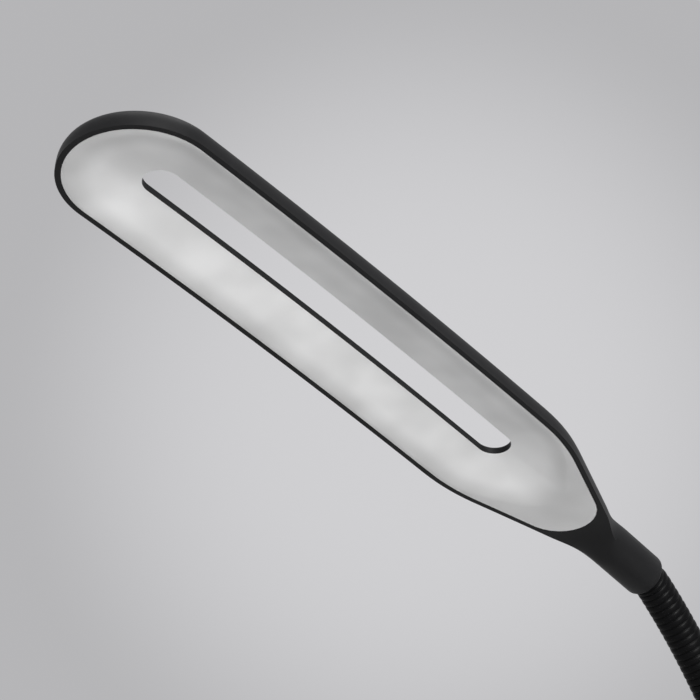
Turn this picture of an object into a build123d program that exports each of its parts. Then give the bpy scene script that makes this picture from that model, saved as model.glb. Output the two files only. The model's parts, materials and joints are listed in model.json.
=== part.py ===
"""Clip-on reading lamp: an arched LED head with a slot, a ribbed gooseneck and a sprung clip.

Millimetres, +Z up. The lamp is symmetric about Y = 0 and its head reaches towards -X.
The origin is the centre of the upper pad's gripping face, which lies on top of the board
or shelf that the clip holds.
"""

import os
from math import cos, degrees, pi, radians, sin, sqrt, tan

from build123d import *

os.makedirs("parts", exist_ok=True)

# Light face outline, seen along its own normal
FACE_TIP_RADIUS = 21.5
FACE_SIDE_LENGTH = 153.2
FACE_SIDE_FLARE = 0.25
SHOULDER_RADIUS = 66.7
SHOULDER_TAPER = 18.2
FACE_END_RADIUS = 12.5
RIM_WIDTH = 1.75

# Head thickness, arch and slot
HEAD_THICKNESS = 6.7
HEAD_ARCH_RADIUS = 2310.0
HEAD_DROOP = 3.3
TOP_ROUNDING = 2.8
SLOT_HALF_WIDTH = 5.45
SLOT_START = 7.2
SLOT_END = 157.4
HEAD_REACH = 60.0

# Head shell walls and the pieces inside
DIFFUSER_EDGE = 1.2
DIFFUSER_LIP = 1.4
FUNNEL_WIDTH = 16.0
FUNNEL_DEPTH = 4.8
BELL_DIP = 0.3
RIDGE_DIP = 0.55
BELL_SHAPE = ((1.0, 1.0), (0.7, 0.725), (0.3, 0.275), (0.0, 0.0))
CAVITY_INSET = 1.9
COVER_THICKNESS = 1.5
COVER_LEDGE = 0.9
FIT_GAP = 0.1
LED_BOARD_THICKNESS = 1.0
LED_BOARD_GAP = 0.4
LED_BOARD_CUT = 3.2
LED_LENGTH = 3.5
LED_WIDTH = 2.8
LED_HEIGHT = 0.7
LED_COUNT = 14
LED_ROW = 14.2
LED_FIRST = 14.0
LED_LAST = 152.0
LEAD_RADIUS = 0.6
LEAD_SPREAD = 0.9
HEAD_LEAD_LENGTH = 52.0

# Collar where the head takes the gooseneck
COLLAR_RADIUS = 7.35
COLLAR_START = 218.0
COLLAR_LENGTH = 24.0
COLLAR_AXIS_HEIGHT = 3.3
COLLAR_EDGE = 1.2
NECK_CONE_LENGTH = 22.0
FERRULE_WALL = 0.7
FERRULE_LENGTH = 12.0
FERRULE_RECESS = 1.0

# Gooseneck
NECK_RADIUS = 6.0
NECK_ROOT_RADIUS = 5.1
RIB_PITCH = 2.5
RIB_SIDES = 12
LEAD_BORE = 2.0
NECK_SEGMENTS = 5
ROOT_LENGTH = 14.0
SEGMENT_LENGTH = 57.4
TIP_LENGTH = 8.0
BEND_RADIUS = 156.0
BEND_ANGLE = 57.0
KINK_RADIUS = 14.0

# Ball joints of the gooseneck
BALL_RADIUS = 4.0
BALL_CLEARANCE = 0.15
BALL_STEM_RADIUS = 3.0
SOCKET_LIP = 1.6
JOINT_GAP = 1.9
BALL_STEP = 20.0

# Clip pads
PAD_LENGTH = 34.0
PAD_WIDTH = 28.0
PAD_THICKNESS = 2.5
PAD_CORNER = 3.0
PAD_RECESS = 0.8
JAW_GAP = 6.0
GROOVE_COUNT = 6
GROOVE_WIDTH = 1.4
GROOVE_DEPTH = 0.6
GROOVE_BORDER = 2.5

# Base housing
BASE_FRONT = 27.0
BASE_LENGTH = 92.0
BASE_WIDTH = 44.0
TRAY_HEIGHT = 11.5
COVER_HEIGHT = 10.5
BASE_WALL = 2.0
BASE_CORNER = 11.0
COVER_EDGE = 4.0
TRAY_EDGE = 1.4

# Hinge of the clip
PIVOT_X = 27.0
PIN_RADIUS = 2.0
PIN_CLEARANCE = 0.05
LUG_RADIUS = 6.0
LUG_THICKNESS = 3.7
SIDE_GAP = 0.3
RUNNING_GAP = 0.3
LEVER_WIDTH = 34.0
LEVER_WALL = 2.8
LEVER_FLOOR = 3.0
HANDLE_SLOPE = 24.0
HANDLE_RIM = 3.5
HANDLE_LENGTH = 41.0
HEEL_LENGTH = 8.5
LEVER_CORNER = 8.0
PIN_HEAD_RADIUS = 3.4
PIN_HEAD_HEIGHT = 1.2
RING_RADIUS = 3.6
RING_THICKNESS = 0.8

# Torsion spring on the hinge pin
WIRE_RADIUS = 0.8
COIL_TURNS = 3
COIL_PITCH = 2.15
SPRING_LEG = 9.0
WIRE_SIDES = 6

# Gooseneck socket on the base
SOCKET_X = 30.0
SOCKET_HEIGHT = 12.0
SOCKET_FOOT_RADIUS = 11.0
SOCKET_TOP_RADIUS = 8.2
SOCKET_RIM = 1.2
SOCKET_DEPTH = 8.0
SHANK_RADIUS = 5.0
SHANK_LENGTH = 8.0
NUT_ACROSS = 14.0
NUT_HEIGHT = 4.0

# Push button and its switch
BUTTON_X = -7.0
BUTTON_RADIUS = 7.0
BUTTON_GAP = 0.2
BUTTON_PROUD = 1.2
BUTTON_FLANGE = 1.2
BUTTON_STEM_RADIUS = 2.5
BUTTON_TRAVEL = 0.5
SWITCH_SIDE = 6.0
SWITCH_HEIGHT = 3.6
PLUNGER_RADIUS = 1.7
PLUNGER_PROUD = 1.2
PLUNGER_GAP = 0.05

# Driver board, its parts and the power inlet
CIRCUIT_MARGIN = 6.5
CIRCUIT_WIDTH = 24.0
CIRCUIT_THICKNESS = 1.6
CIRCUIT_GAP = 0.5
POST_HEIGHT = 3.6
POST_RADIUS = 2.2
POST_INSET = 4.5
INLET_WIDTH = 8.9
INLET_HEIGHT = 3.2
INLET_DEPTH = 7.3
INLET_WALL = 0.3
INLET_TONGUE_WIDTH = 6.6
INLET_TONGUE_HEIGHT = 0.7
INLET_TONGUE_LENGTH = 5.2
CAPACITOR_X = 12.0
CAPACITOR_RADIUS = 4.0
CAPACITOR_HEIGHT = 9.0
COIL_SIDE = 7.0
COIL_HEIGHT = 4.0
CHIP_LENGTH = 5.0
CHIP_WIDTH = 4.0
CHIP_HEIGHT = 1.5
PLUG_SIDE = 6.0
PLUG_HEIGHT = 5.0
PLUG_X = 42.0
PLUG_Y = 5.0

# Fasteners
SCREW_RADIUS = 1.2
SCREW_HOLE_RADIUS = 1.25
SCREW_HEAD_RADIUS = 2.4
SCREW_HEAD_HEIGHT = 1.6
SCREW_SINK = 1.8
SCREW_LENGTH = 13.0
BOSS_DEPTH = 7.0
SCREW_INSET_X = 8.0
SCREW_INSET_Y = 6.0
BOSS_RADIUS = 3.2

# Heights and places that follow from the sizes above
TRAY_Z = PAD_THICKNESS - PAD_RECESS
SPLIT_Z = TRAY_Z + TRAY_HEIGHT
BASE_TOP = SPLIT_Z + COVER_HEIGHT
BASE_X = BASE_LENGTH / 2 - BASE_FRONT
BASE_REAR = BASE_LENGTH - BASE_FRONT
FLOOR_Z = TRAY_Z + BASE_WALL
CEILING_Z = BASE_TOP - BASE_WALL
CIRCUIT_Z = FLOOR_Z + POST_HEIGHT
CIRCUIT_TOP = CIRCUIT_Z + CIRCUIT_THICKNESS
CIRCUIT_REAR = BASE_REAR - BASE_WALL - CIRCUIT_GAP
CIRCUIT_LENGTH = CIRCUIT_REAR - BUTTON_X + CIRCUIT_MARGIN
CIRCUIT_X = CIRCUIT_REAR - CIRCUIT_LENGTH / 2
LEVER_TOP = -JAW_GAP - PAD_THICKNESS
LEVER_BOTTOM = LEVER_TOP - LEVER_FLOOR
PIVOT_Z = (TRAY_Z + LEVER_TOP) / 2
PIVOT_CLEAR = TRAY_Z - PIVOT_Z
EAR_RADIUS = PIVOT_CLEAR - RUNNING_GAP
COIL_RADIUS = PIVOT_CLEAR - RUNNING_GAP - WIRE_RADIUS
SOCKET_TOP = BASE_TOP + SOCKET_HEIGHT
SCREW_PLACES = [
    (x, y)
    for x in (SCREW_INSET_X - BASE_FRONT, BASE_REAR - SCREW_INSET_X)
    for y in (SCREW_INSET_Y - BASE_WIDTH / 2, BASE_WIDTH / 2 - SCREW_INSET_Y)
]
POST_PLACES = [
    (CIRCUIT_X + side * (CIRCUIT_LENGTH / 2 - POST_INSET), y)
    for side in (-1, 1)
    for y in (POST_INSET - CIRCUIT_WIDTH / 2, CIRCUIT_WIDTH / 2 - POST_INSET)
]


# Centreline of the gooseneck, from its socket on the base to the collar of the head
COLLAR_SLOPE = HEAD_DROOP + degrees(COLLAR_START / HEAD_ARCH_RADIUS)
BEND_LENGTH = BEND_RADIUS * radians(BEND_ANGLE)
BEND_END = ROOT_LENGTH + NECK_SEGMENTS * SEGMENT_LENGTH + TIP_LENGTH
KINK_LENGTH = KINK_RADIUS * radians(90 - BEND_ANGLE - COLLAR_SLOPE)
MOUTH = BEND_END + KINK_LENGTH
NECK_CURVES = [
    (BEND_END - BEND_LENGTH, None),
    (BEND_LENGTH, BEND_RADIUS),
    (KINK_LENGTH, KINK_RADIUS),
]


def neck_plane(distance):
    """The plane square to the gooseneck's centreline at a distance above the socket's mouth."""
    x = SOCKET_X
    z = SOCKET_TOP
    lean = 0.0
    for length, radius in NECK_CURVES:
        step = min(distance, length)
        if radius is None:
            z += step
        else:
            turned = lean + step / radius
            x -= radius * (cos(lean) - cos(turned))
            z += radius * (sin(turned) - sin(lean))
            lean = turned
        distance -= step
    x -= distance * sin(lean)
    z += distance * cos(lean)
    return Plane(origin=(x, 0, z), x_dir=(0, 1, 0), z_dir=(-sin(lean), 0, cos(lean)))


# Frame of the head: its tip, its length and its thickness directions
def slope_vectors(slope):
    """Directions along and across a line in the XZ plane that falls by a slope towards +X."""
    angle = radians(slope)
    return Vector(cos(angle), 0, -sin(angle)), Vector(sin(angle), 0, cos(angle))


HEAD_ALONG, HEAD_UP = slope_vectors(HEAD_DROOP)
COLLAR_ALONG, COLLAR_UP = slope_vectors(COLLAR_SLOPE)


def arch_offset(distance):
    """The step from the centre of the tip along the arched face, and straight on in the collar."""
    angle = min(distance, COLLAR_START) / HEAD_ARCH_RADIUS
    straight = COLLAR_ALONG * max(distance - COLLAR_START, 0)
    return (HEAD_ALONG * sin(angle) - HEAD_UP * (1 - cos(angle))) * HEAD_ARCH_RADIUS + straight


MOUTH_CENTRE = neck_plane(MOUTH).origin
HEAD_TIP = (
    MOUTH_CENTRE - COLLAR_UP * COLLAR_AXIS_HEIGHT - arch_offset(COLLAR_START + COLLAR_LENGTH)
)
ARCH_CENTRE = HEAD_TIP - HEAD_UP * HEAD_ARCH_RADIUS
HEAD_SIDE = Plane(origin=HEAD_TIP, x_dir=HEAD_ALONG, z_dir=(0, -1, 0))
HEAD_FACE = Plane(origin=HEAD_TIP, x_dir=HEAD_ALONG, z_dir=HEAD_UP)
COVER_SEAT = HEAD_THICKNESS - COVER_THICKNESS
COVER_INSET = CAVITY_INSET - COVER_LEDGE
LED_BOARD_LOW = COVER_SEAT - LED_BOARD_THICKNESS
LED_MIDDLE = LED_BOARD_LOW - LED_HEIGHT / 2 - FIT_GAP / 2
WALL_FOOT = FUNNEL_DEPTH + FIT_GAP / 2


def head_station(distance):
    """The plane square to the arched head at a distance from the tip, with Y and up in it."""
    slope = HEAD_DROOP + degrees(min(distance, COLLAR_START) / HEAD_ARCH_RADIUS)
    along = slope_vectors(slope)[0]
    return Plane(origin=HEAD_TIP + arch_offset(distance), x_dir=(0, 1, 0), z_dir=along)


# Outline of the light face: two circles joined by a side line, a shoulder arc and a taper line
def normal(angle):
    """The unit vector that leans by an angle from +Y towards +X."""
    return Vector(sin(radians(angle)), cos(radians(angle)))


SIDE_END = normal(-FACE_SIDE_FLARE) * FACE_TIP_RADIUS + normal(90 - FACE_SIDE_FLARE) * FACE_SIDE_LENGTH
SHOULDER_CENTRE = SIDE_END - normal(-FACE_SIDE_FLARE) * SHOULDER_RADIUS
TAPER_START = SHOULDER_CENTRE + normal(SHOULDER_TAPER) * SHOULDER_RADIUS
TAPER_NORMAL = normal(SHOULDER_TAPER)
END_CENTRE = Vector((TAPER_START.dot(TAPER_NORMAL) - FACE_END_RADIUS) / TAPER_NORMAL.X, 0)


def face_outline(inset):
    """The light face's outline, drawn in by an inset all round."""
    tip_radius = FACE_TIP_RADIUS - inset
    shoulder_radius = SHOULDER_RADIUS - inset
    end_radius = FACE_END_RADIUS - inset
    side = 90 + FACE_SIDE_FLARE
    taper = 90 - SHOULDER_TAPER
    with BuildSketch() as outline:
        with BuildLine():
            tip = CenterArc((0, 0), tip_radius, 180, side - 180)
            shoulder = CenterArc(SHOULDER_CENTRE, shoulder_radius, side, taper - side)
            end = CenterArc(END_CENTRE, end_radius, taper, -taper)
            Line(tip @ 1, shoulder @ 0)
            Line(shoulder @ 1, end @ 0)
            mirror(about=Plane.XZ)
        make_face()
    return outline.sketch


def slot_outline(half_width):
    """A slot-shaped outline of a half width about the head's slot."""
    with BuildSketch() as outline:
        with Locations(((SLOT_START + SLOT_END) / 2, 0)):
            SlotCenterToCenter(SLOT_END - SLOT_START, 2 * half_width)
    return outline.sketch


def arched_layer(outline, low, high):
    """A plate of the arched head with an outline, between two heights above the light face."""
    start = 90 + degrees(HEAD_REACH / HEAD_ARCH_RADIUS)
    sweep_angle = -degrees((HEAD_REACH + COLLAR_START) / HEAD_ARCH_RADIUS)
    with BuildPart() as layer:
        with BuildSketch(HEAD_FACE.offset(-HEAD_REACH)):
            add(outline)
        extrude(amount=2 * HEAD_REACH)
        with BuildSketch(HEAD_SIDE):
            with BuildLine():
                upper = CenterArc((0, -HEAD_ARCH_RADIUS), HEAD_ARCH_RADIUS + high, start, sweep_angle)
                lower = CenterArc((0, -HEAD_ARCH_RADIUS), HEAD_ARCH_RADIUS + low, start, sweep_angle)
                Line(upper @ 0, lower @ 0)
                Line(upper @ 1, lower @ 1)
            make_face()
        extrude(amount=HEAD_REACH, both=True, mode=Mode.INTERSECT)
    return layer.part


def shell_outline(rim):
    """The shell's outline: the face's, wider by a rim, with the taper running on into the collar."""
    side = 90 + FACE_SIDE_FLARE
    taper = 90 - SHOULDER_TAPER
    taper_from = SHOULDER_CENTRE + TAPER_NORMAL * (SHOULDER_RADIUS + rim)
    run = (COLLAR_START - taper_from.X) / cos(radians(SHOULDER_TAPER))
    taper_to = taper_from + normal(90 + SHOULDER_TAPER) * run
    with BuildSketch() as outline:
        with BuildLine():
            tip = CenterArc((0, 0), FACE_TIP_RADIUS + rim, 180, side - 180)
            shoulder = CenterArc(SHOULDER_CENTRE, SHOULDER_RADIUS + rim, side, taper - side)
            Line(tip @ 1, shoulder @ 0)
            Line(shoulder @ 1, taper_to)
            Line(taper_to, (COLLAR_START, 0))
            mirror(about=Plane.XZ)
        make_face()
    return outline.sketch


# The pieces of the head
with BuildPart() as head_housing:
    add(arched_layer(shell_outline(RIM_WIDTH), 0, HEAD_THICKNESS))
    top_face = head_housing.faces().sort_by(Axis(HEAD_TIP, HEAD_UP))[-1]
    top_edges = top_face.edges().sort_by(Axis(HEAD_TIP, HEAD_ALONG))
    fillet(top_edges[:-1], TOP_ROUNDING)
    with BuildSketch(neck_plane(MOUTH)):
        Circle(COLLAR_RADIUS)
    extrude(amount=COLLAR_LENGTH)
    with BuildSketch(neck_plane(MOUTH + COLLAR_LENGTH)):
        Circle(COLLAR_RADIUS)
    with BuildSketch(neck_plane(MOUTH + COLLAR_LENGTH + NECK_CONE_LENGTH)):
        Circle(HEAD_THICKNESS / 2)
    loft()
    mouth_face = head_housing.faces().sort_by(Axis(MOUTH_CENTRE, COLLAR_ALONG))[-1]
    fillet(mouth_face.edges(), COLLAR_EDGE)
    add(arched_layer(face_outline(-FIT_GAP), -HEAD_THICKNESS, DIFFUSER_EDGE), mode=Mode.SUBTRACT)
    add(arched_layer(face_outline(CAVITY_INSET), 0, 2 * HEAD_THICKNESS), mode=Mode.SUBTRACT)
    add(arched_layer(face_outline(COVER_INSET), COVER_SEAT, 2 * HEAD_THICKNESS), mode=Mode.SUBTRACT)
    with BuildSketch(neck_plane(MOUTH)):
        Circle(NECK_ROOT_RADIUS + FERRULE_WALL)
    extrude(amount=FERRULE_LENGTH + FERRULE_RECESS, mode=Mode.SUBTRACT)
    with BuildSketch(neck_plane(MOUTH)):
        Circle(LEAD_BORE)
    extrude(amount=COLLAR_LENGTH + NECK_CONE_LENGTH, mode=Mode.SUBTRACT)
head_housing.part.label = "head_housing"
export_step(head_housing.part, "parts/head_housing.step")

with BuildPart() as head_cover:
    add(arched_layer(face_outline(COVER_INSET + FIT_GAP), COVER_SEAT, HEAD_THICKNESS))
    add(arched_layer(slot_outline(SLOT_HALF_WIDTH + DIFFUSER_LIP), WALL_FOOT, HEAD_THICKNESS))
    with BuildSketch(HEAD_FACE.offset(-HEAD_REACH)):
        add(slot_outline(SLOT_HALF_WIDTH))
    extrude(amount=2 * HEAD_REACH, mode=Mode.SUBTRACT)
head_cover.part.label = "head_cover"
export_step(head_cover.part, "parts/head_cover.step")


def bell_section(inset, depth, low):
    """Half of a bell's section: flat above, then a side that falls and spreads in straight runs."""
    outer = SLOT_HALF_WIDTH + FUNNEL_WIDTH
    side = [
        (outer - (FUNNEL_WIDTH - inset) * share, FUNNEL_DEPTH - depth * (1 - rise))
        for share, rise in BELL_SHAPE
    ]
    with BuildSketch() as section:
        Polygon(*side, (side[-1][0], low), (0, low), (0, FUNNEL_DEPTH), align=None)
    return section.sketch


def slot_bell(section):
    """A bell-shaped ridge along the slot, with round ends."""
    with BuildPart() as bell:
        with BuildSketch(head_station(SLOT_START)):
            add(section)
            mirror(about=Plane.YZ)
        revolve(
            axis=Axis(ARCH_CENTRE, (0, 1, 0)),
            revolution_arc=degrees((SLOT_END - SLOT_START) / HEAD_ARCH_RADIUS),
        )
        for place, turn in ((SLOT_START, 180), (SLOT_END, -180)):
            station = head_station(place)
            with BuildSketch(station):
                add(section)
            revolve(axis=Axis(station.origin, station.y_dir), revolution_arc=turn)
    return bell.part


with BuildPart() as diffuser:
    add(arched_layer(face_outline(0), 0, DIFFUSER_EDGE))
    ridge_depth = FUNNEL_DEPTH - DIFFUSER_EDGE + RIDGE_DIP
    add(slot_bell(bell_section(DIFFUSER_LIP, ridge_depth, DIFFUSER_EDGE / 2)))
    add(slot_bell(bell_section(0, FUNNEL_DEPTH + BELL_DIP, -FUNNEL_DEPTH)), mode=Mode.SUBTRACT)
diffuser.part.label = "diffuser"
export_step(diffuser.part, "parts/diffuser.step")

with BuildPart() as led_board:
    add(arched_layer(face_outline(CAVITY_INSET + LED_BOARD_GAP), LED_BOARD_LOW, COVER_SEAT))
    with BuildSketch(HEAD_FACE.offset(-HEAD_REACH)):
        add(slot_outline(SLOT_HALF_WIDTH + DIFFUSER_LIP + LED_BOARD_CUT))
    extrude(amount=2 * HEAD_REACH, mode=Mode.SUBTRACT)
led_board.part.label = "led_board"
export_step(led_board.part, "parts/led_board.step")

with BuildPart() as leds:
    for index in range(LED_COUNT):
        place = LED_FIRST + (LED_LAST - LED_FIRST) * index / (LED_COUNT - 1)
        with BuildSketch(head_station(place - LED_LENGTH / 2)):
            with Locations((-LED_ROW, LED_MIDDLE), (LED_ROW, LED_MIDDLE)):
                Rectangle(LED_WIDTH, LED_HEIGHT)
        extrude(amount=LED_LENGTH)
leds.part.label = "leds"
export_step(leds.part, "parts/leds.step")

with BuildPart() as head_leads:
    with BuildSketch(neck_plane(MOUTH)):
        with Locations((-LEAD_SPREAD, 0), (LEAD_SPREAD, 0)):
            Circle(LEAD_RADIUS)
    extrude(amount=HEAD_LEAD_LENGTH)
head_leads.part.label = "head_leads"
export_step(head_leads.part, "parts/head_leads.step")

with BuildPart() as neck_ferrule:
    with BuildSketch(neck_plane(MOUTH + FERRULE_RECESS)):
        Circle(NECK_ROOT_RADIUS + FERRULE_WALL)
        Circle(NECK_ROOT_RADIUS, mode=Mode.SUBTRACT)
    extrude(amount=FERRULE_LENGTH)
neck_ferrule.part.label = "neck_ferrule"
export_step(neck_ferrule.part, "parts/neck_ferrule.step")

# Polygon rings of the ball joints, about the joint's centre
FACET = cos(pi / RIB_SIDES)
SOCKET_RADIUS = (BALL_RADIUS + BALL_CLEARANCE) / (FACET * cos(radians(BALL_STEP / 2)))
BALL_RINGS = [
    (BALL_RADIUS * sin(radians(turn * BALL_STEP)), BALL_RADIUS * cos(radians(turn * BALL_STEP)))
    for turn in (-2, -1, 0, 1, 2)
]
SOCKET_RINGS = [(-SOCKET_LIP, sqrt(SOCKET_RADIUS**2 - SOCKET_LIP**2))]
SOCKET_RINGS += [
    (SOCKET_RADIUS * sin(radians(turn * BALL_STEP)), SOCKET_RADIUS * cos(radians(turn * BALL_STEP)))
    for turn in (0, 1, 2, 2.75)
]
JOINT_PLACES = [ROOT_LENGTH + number * SEGMENT_LENGTH for number in range(NECK_SEGMENTS + 1)]


def rib_rings(start, end):
    """Places and radii of the rings that make a run of whole ribs from start to end."""
    count = max(1, round((end - start) / RIB_PITCH))
    pitch = (end - start) / count
    rings = []
    for rib in range(count):
        foot = start + rib * pitch
        rings += [(foot, NECK_ROOT_RADIUS), (foot + 0.25 * pitch, NECK_RADIUS)]
        rings += [(foot + 0.75 * pitch, NECK_RADIUS)]
    return rings + [(end, NECK_ROOT_RADIUS)]


def ring_loft(rings):
    """A solid ruled through polygon rings, each a place on the centreline and a radius."""
    with BuildPart() as body:
        for place, radius in rings:
            with BuildSketch(neck_plane(place)):
                RegularPolygon(radius, RIB_SIDES)
        loft(ruled=True)
    return body.part


def bore_rings(start, end):
    """Rings of the lead bore, close enough together to follow the centreline."""
    count = max(2, round((end - start) / (4 * RIB_PITCH)))
    return [(start + (end - start) * step / count, LEAD_BORE) for step in range(count + 1)]


def ball_end(centre):
    """The ball above a joint's lower piece, with the stem that carries it."""
    stem_foot = centre - SOCKET_LIP - JOINT_GAP
    stem = [(stem_foot - RIB_PITCH, BALL_STEM_RADIUS), (centre + BALL_RINGS[0][0], BALL_STEM_RADIUS)]
    ball = [(centre + height, radius) for height, radius in BALL_RINGS]
    return ring_loft(stem) + ring_loft(ball)


def socket_hollow(centre):
    """The hollow for a ball at the foot of a joint's upper piece."""
    return ring_loft([(centre + height, radius) for height, radius in SOCKET_RINGS])


# The pieces of the gooseneck
with BuildPart() as gooseneck_root:
    with BuildSketch(neck_plane(-SOCKET_DEPTH)):
        Circle(NECK_ROOT_RADIUS)
    extrude(amount=SOCKET_DEPTH)
    add(ring_loft(rib_rings(0, JOINT_PLACES[0] - SOCKET_LIP - JOINT_GAP)))
    add(ball_end(JOINT_PLACES[0]))
    add(ring_loft(bore_rings(-SOCKET_DEPTH, JOINT_PLACES[0] + BALL_RADIUS)), mode=Mode.SUBTRACT)
gooseneck_root.part.label = "gooseneck_root"
export_step(gooseneck_root.part, "parts/gooseneck_root.step")

for number in range(NECK_SEGMENTS):
    foot, head = JOINT_PLACES[number], JOINT_PLACES[number + 1]
    with BuildPart() as gooseneck_segment:
        add(ring_loft(rib_rings(foot - SOCKET_LIP, head - SOCKET_LIP - JOINT_GAP)))
        add(ball_end(head))
        add(socket_hollow(foot), mode=Mode.SUBTRACT)
        add(ring_loft(bore_rings(foot, head + BALL_RADIUS)), mode=Mode.SUBTRACT)
    gooseneck_segment.part.label = f"gooseneck_{number + 1}"
    export_step(gooseneck_segment.part, f"parts/gooseneck_{number + 1}.step")

with BuildPart() as gooseneck_tip:
    add(ring_loft(rib_rings(JOINT_PLACES[-1] - SOCKET_LIP, MOUTH)))
    with BuildSketch(neck_plane(MOUTH)):
        Circle(NECK_ROOT_RADIUS)
    extrude(amount=FERRULE_LENGTH + FERRULE_RECESS)
    add(socket_hollow(JOINT_PLACES[-1]), mode=Mode.SUBTRACT)
    tip_end = MOUTH + FERRULE_LENGTH + FERRULE_RECESS
    add(ring_loft(bore_rings(JOINT_PLACES[-1], BEND_END)), mode=Mode.SUBTRACT)
    add(ring_loft(bore_rings(BEND_END, MOUTH)), mode=Mode.SUBTRACT)
    add(ring_loft(bore_rings(MOUTH, tip_end)), mode=Mode.SUBTRACT)
gooseneck_tip.part.label = "gooseneck_tip"
export_step(gooseneck_tip.part, "parts/gooseneck_tip.step")


def ring_places(places, radius, height, low):
    """Upright round posts of a radius and height that stand at a set of places."""
    with BuildPart() as posts:
        with BuildSketch(Plane.XY.offset(low)):
            with Locations(*places):
                Circle(radius)
        extrude(amount=height)
    return posts.part


# The base: a tray with the clip's hinge lugs, and a cover with the gooseneck's socket
with BuildPart() as base_housing:
    with BuildSketch(Plane.XY.offset(TRAY_Z)):
        with Locations((BASE_X, 0)):
            RectangleRounded(BASE_LENGTH, BASE_WIDTH, BASE_CORNER)
    extrude(amount=TRAY_HEIGHT)
    chamfer(base_housing.faces().sort_by(Axis.Z)[0].edges(), TRAY_EDGE)
    with BuildSketch(Plane.XY.offset(FLOOR_Z)):
        with Locations((BASE_X, 0)):
            RectangleRounded(
                BASE_LENGTH - 2 * BASE_WALL, BASE_WIDTH - 2 * BASE_WALL, BASE_CORNER - BASE_WALL
            )
    extrude(amount=TRAY_HEIGHT, mode=Mode.SUBTRACT)
    add(ring_places(SCREW_PLACES, BOSS_RADIUS, TRAY_HEIGHT, TRAY_Z))
    add(ring_places(POST_PLACES, POST_RADIUS, POST_HEIGHT, FLOOR_Z))
    add(ring_places(SCREW_PLACES, SCREW_HOLE_RADIUS, TRAY_HEIGHT, TRAY_Z), mode=Mode.SUBTRACT)
    add(ring_places(SCREW_PLACES, SCREW_HEAD_RADIUS + FIT_GAP, SCREW_SINK, TRAY_Z), mode=Mode.SUBTRACT)
    with BuildSketch(Plane.XY.offset(TRAY_Z)):
        RectangleRounded(PAD_LENGTH, PAD_WIDTH, PAD_CORNER)
    extrude(amount=PAD_RECESS, mode=Mode.SUBTRACT)
    for side in (-1, 1):
        with BuildSketch(Plane.XZ.offset(side * (LEVER_WIDTH / 2 + SIDE_GAP))):
            with Locations((PIVOT_X, PIVOT_Z)):
                Circle(LUG_RADIUS)
            with Locations((PIVOT_X, (PIVOT_Z + FLOOR_Z) / 2)):
                Rectangle(2 * LUG_RADIUS, FLOOR_Z - PIVOT_Z)
            with Locations((PIVOT_X, PIVOT_Z)):
                Circle(PIN_RADIUS, mode=Mode.SUBTRACT)
        extrude(amount=side * LUG_THICKNESS)
    with BuildSketch(Plane.YZ.offset(BASE_REAR - 2 * BASE_WALL)):
        with Locations((0, CIRCUIT_TOP + INLET_HEIGHT / 2)):
            SlotOverall(INLET_WIDTH + 2 * FIT_GAP, INLET_HEIGHT + 2 * FIT_GAP)
    extrude(amount=3 * BASE_WALL, mode=Mode.SUBTRACT)
base_housing.part.label = "base_housing"
export_step(base_housing.part, "parts/base_housing.step")

with BuildPart() as base_cover:
    with BuildSketch(Plane.XY.offset(SPLIT_Z)):
        with Locations((BASE_X, 0)):
            RectangleRounded(BASE_LENGTH, BASE_WIDTH, BASE_CORNER)
    extrude(amount=COVER_HEIGHT)
    fillet(base_cover.faces().sort_by(Axis.Z)[-1].edges(), COVER_EDGE)
    with BuildSketch(Plane.XY.offset(SPLIT_Z)):
        with Locations((BASE_X, 0)):
            RectangleRounded(
                BASE_LENGTH - 2 * BASE_WALL, BASE_WIDTH - 2 * BASE_WALL, BASE_CORNER - BASE_WALL
            )
    extrude(amount=COVER_HEIGHT - BASE_WALL, mode=Mode.SUBTRACT)
    add(ring_places(SCREW_PLACES, BOSS_RADIUS, COVER_HEIGHT - BASE_WALL, SPLIT_Z))
    add(ring_places(SCREW_PLACES, SCREW_HOLE_RADIUS, BOSS_DEPTH, SPLIT_Z), mode=Mode.SUBTRACT)
    with BuildSketch(Plane.XY.offset(CEILING_Z)):
        with Locations((BUTTON_X, 0)):
            Circle(BUTTON_RADIUS + BUTTON_GAP)
        with Locations((SOCKET_X, 0)):
            Circle(SHANK_RADIUS)
    extrude(amount=BASE_WALL, mode=Mode.SUBTRACT)
base_cover.part.label = "base_cover"
export_step(base_cover.part, "parts/base_cover.step")

with BuildPart() as base_ferrule:
    with BuildSketch(Plane.XZ):
        Polygon(
            (SOCKET_X + SOCKET_FOOT_RADIUS, BASE_TOP),
            (SOCKET_X + SOCKET_FOOT_RADIUS, BASE_TOP + SOCKET_RIM),
            (SOCKET_X + SOCKET_TOP_RADIUS, SOCKET_TOP - SOCKET_RIM),
            (SOCKET_X + SOCKET_TOP_RADIUS - SOCKET_RIM, SOCKET_TOP),
            (SOCKET_X + NECK_ROOT_RADIUS, SOCKET_TOP),
            (SOCKET_X + NECK_ROOT_RADIUS, SOCKET_TOP - SOCKET_DEPTH),
            (SOCKET_X + LEAD_BORE, SOCKET_TOP - SOCKET_DEPTH),
            (SOCKET_X + LEAD_BORE, BASE_TOP - SHANK_LENGTH),
            (SOCKET_X + SHANK_RADIUS, BASE_TOP - SHANK_LENGTH),
            (SOCKET_X + SHANK_RADIUS, BASE_TOP),
            align=None,
        )
    revolve(axis=Axis((SOCKET_X, 0, 0), (0, 0, 1)))
base_ferrule.part.label = "base_ferrule"
export_step(base_ferrule.part, "parts/base_ferrule.step")

with BuildPart() as ferrule_nut:
    with BuildSketch(Plane.XY.offset(CEILING_Z)):
        with Locations((SOCKET_X, 0)):
            RegularPolygon(NUT_ACROSS / 2, 6, major_radius=False)
            Circle(SHANK_RADIUS, mode=Mode.SUBTRACT)
    extrude(amount=-NUT_HEIGHT)
ferrule_nut.part.label = "ferrule_nut"
export_step(ferrule_nut.part, "parts/ferrule_nut.step")

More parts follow.
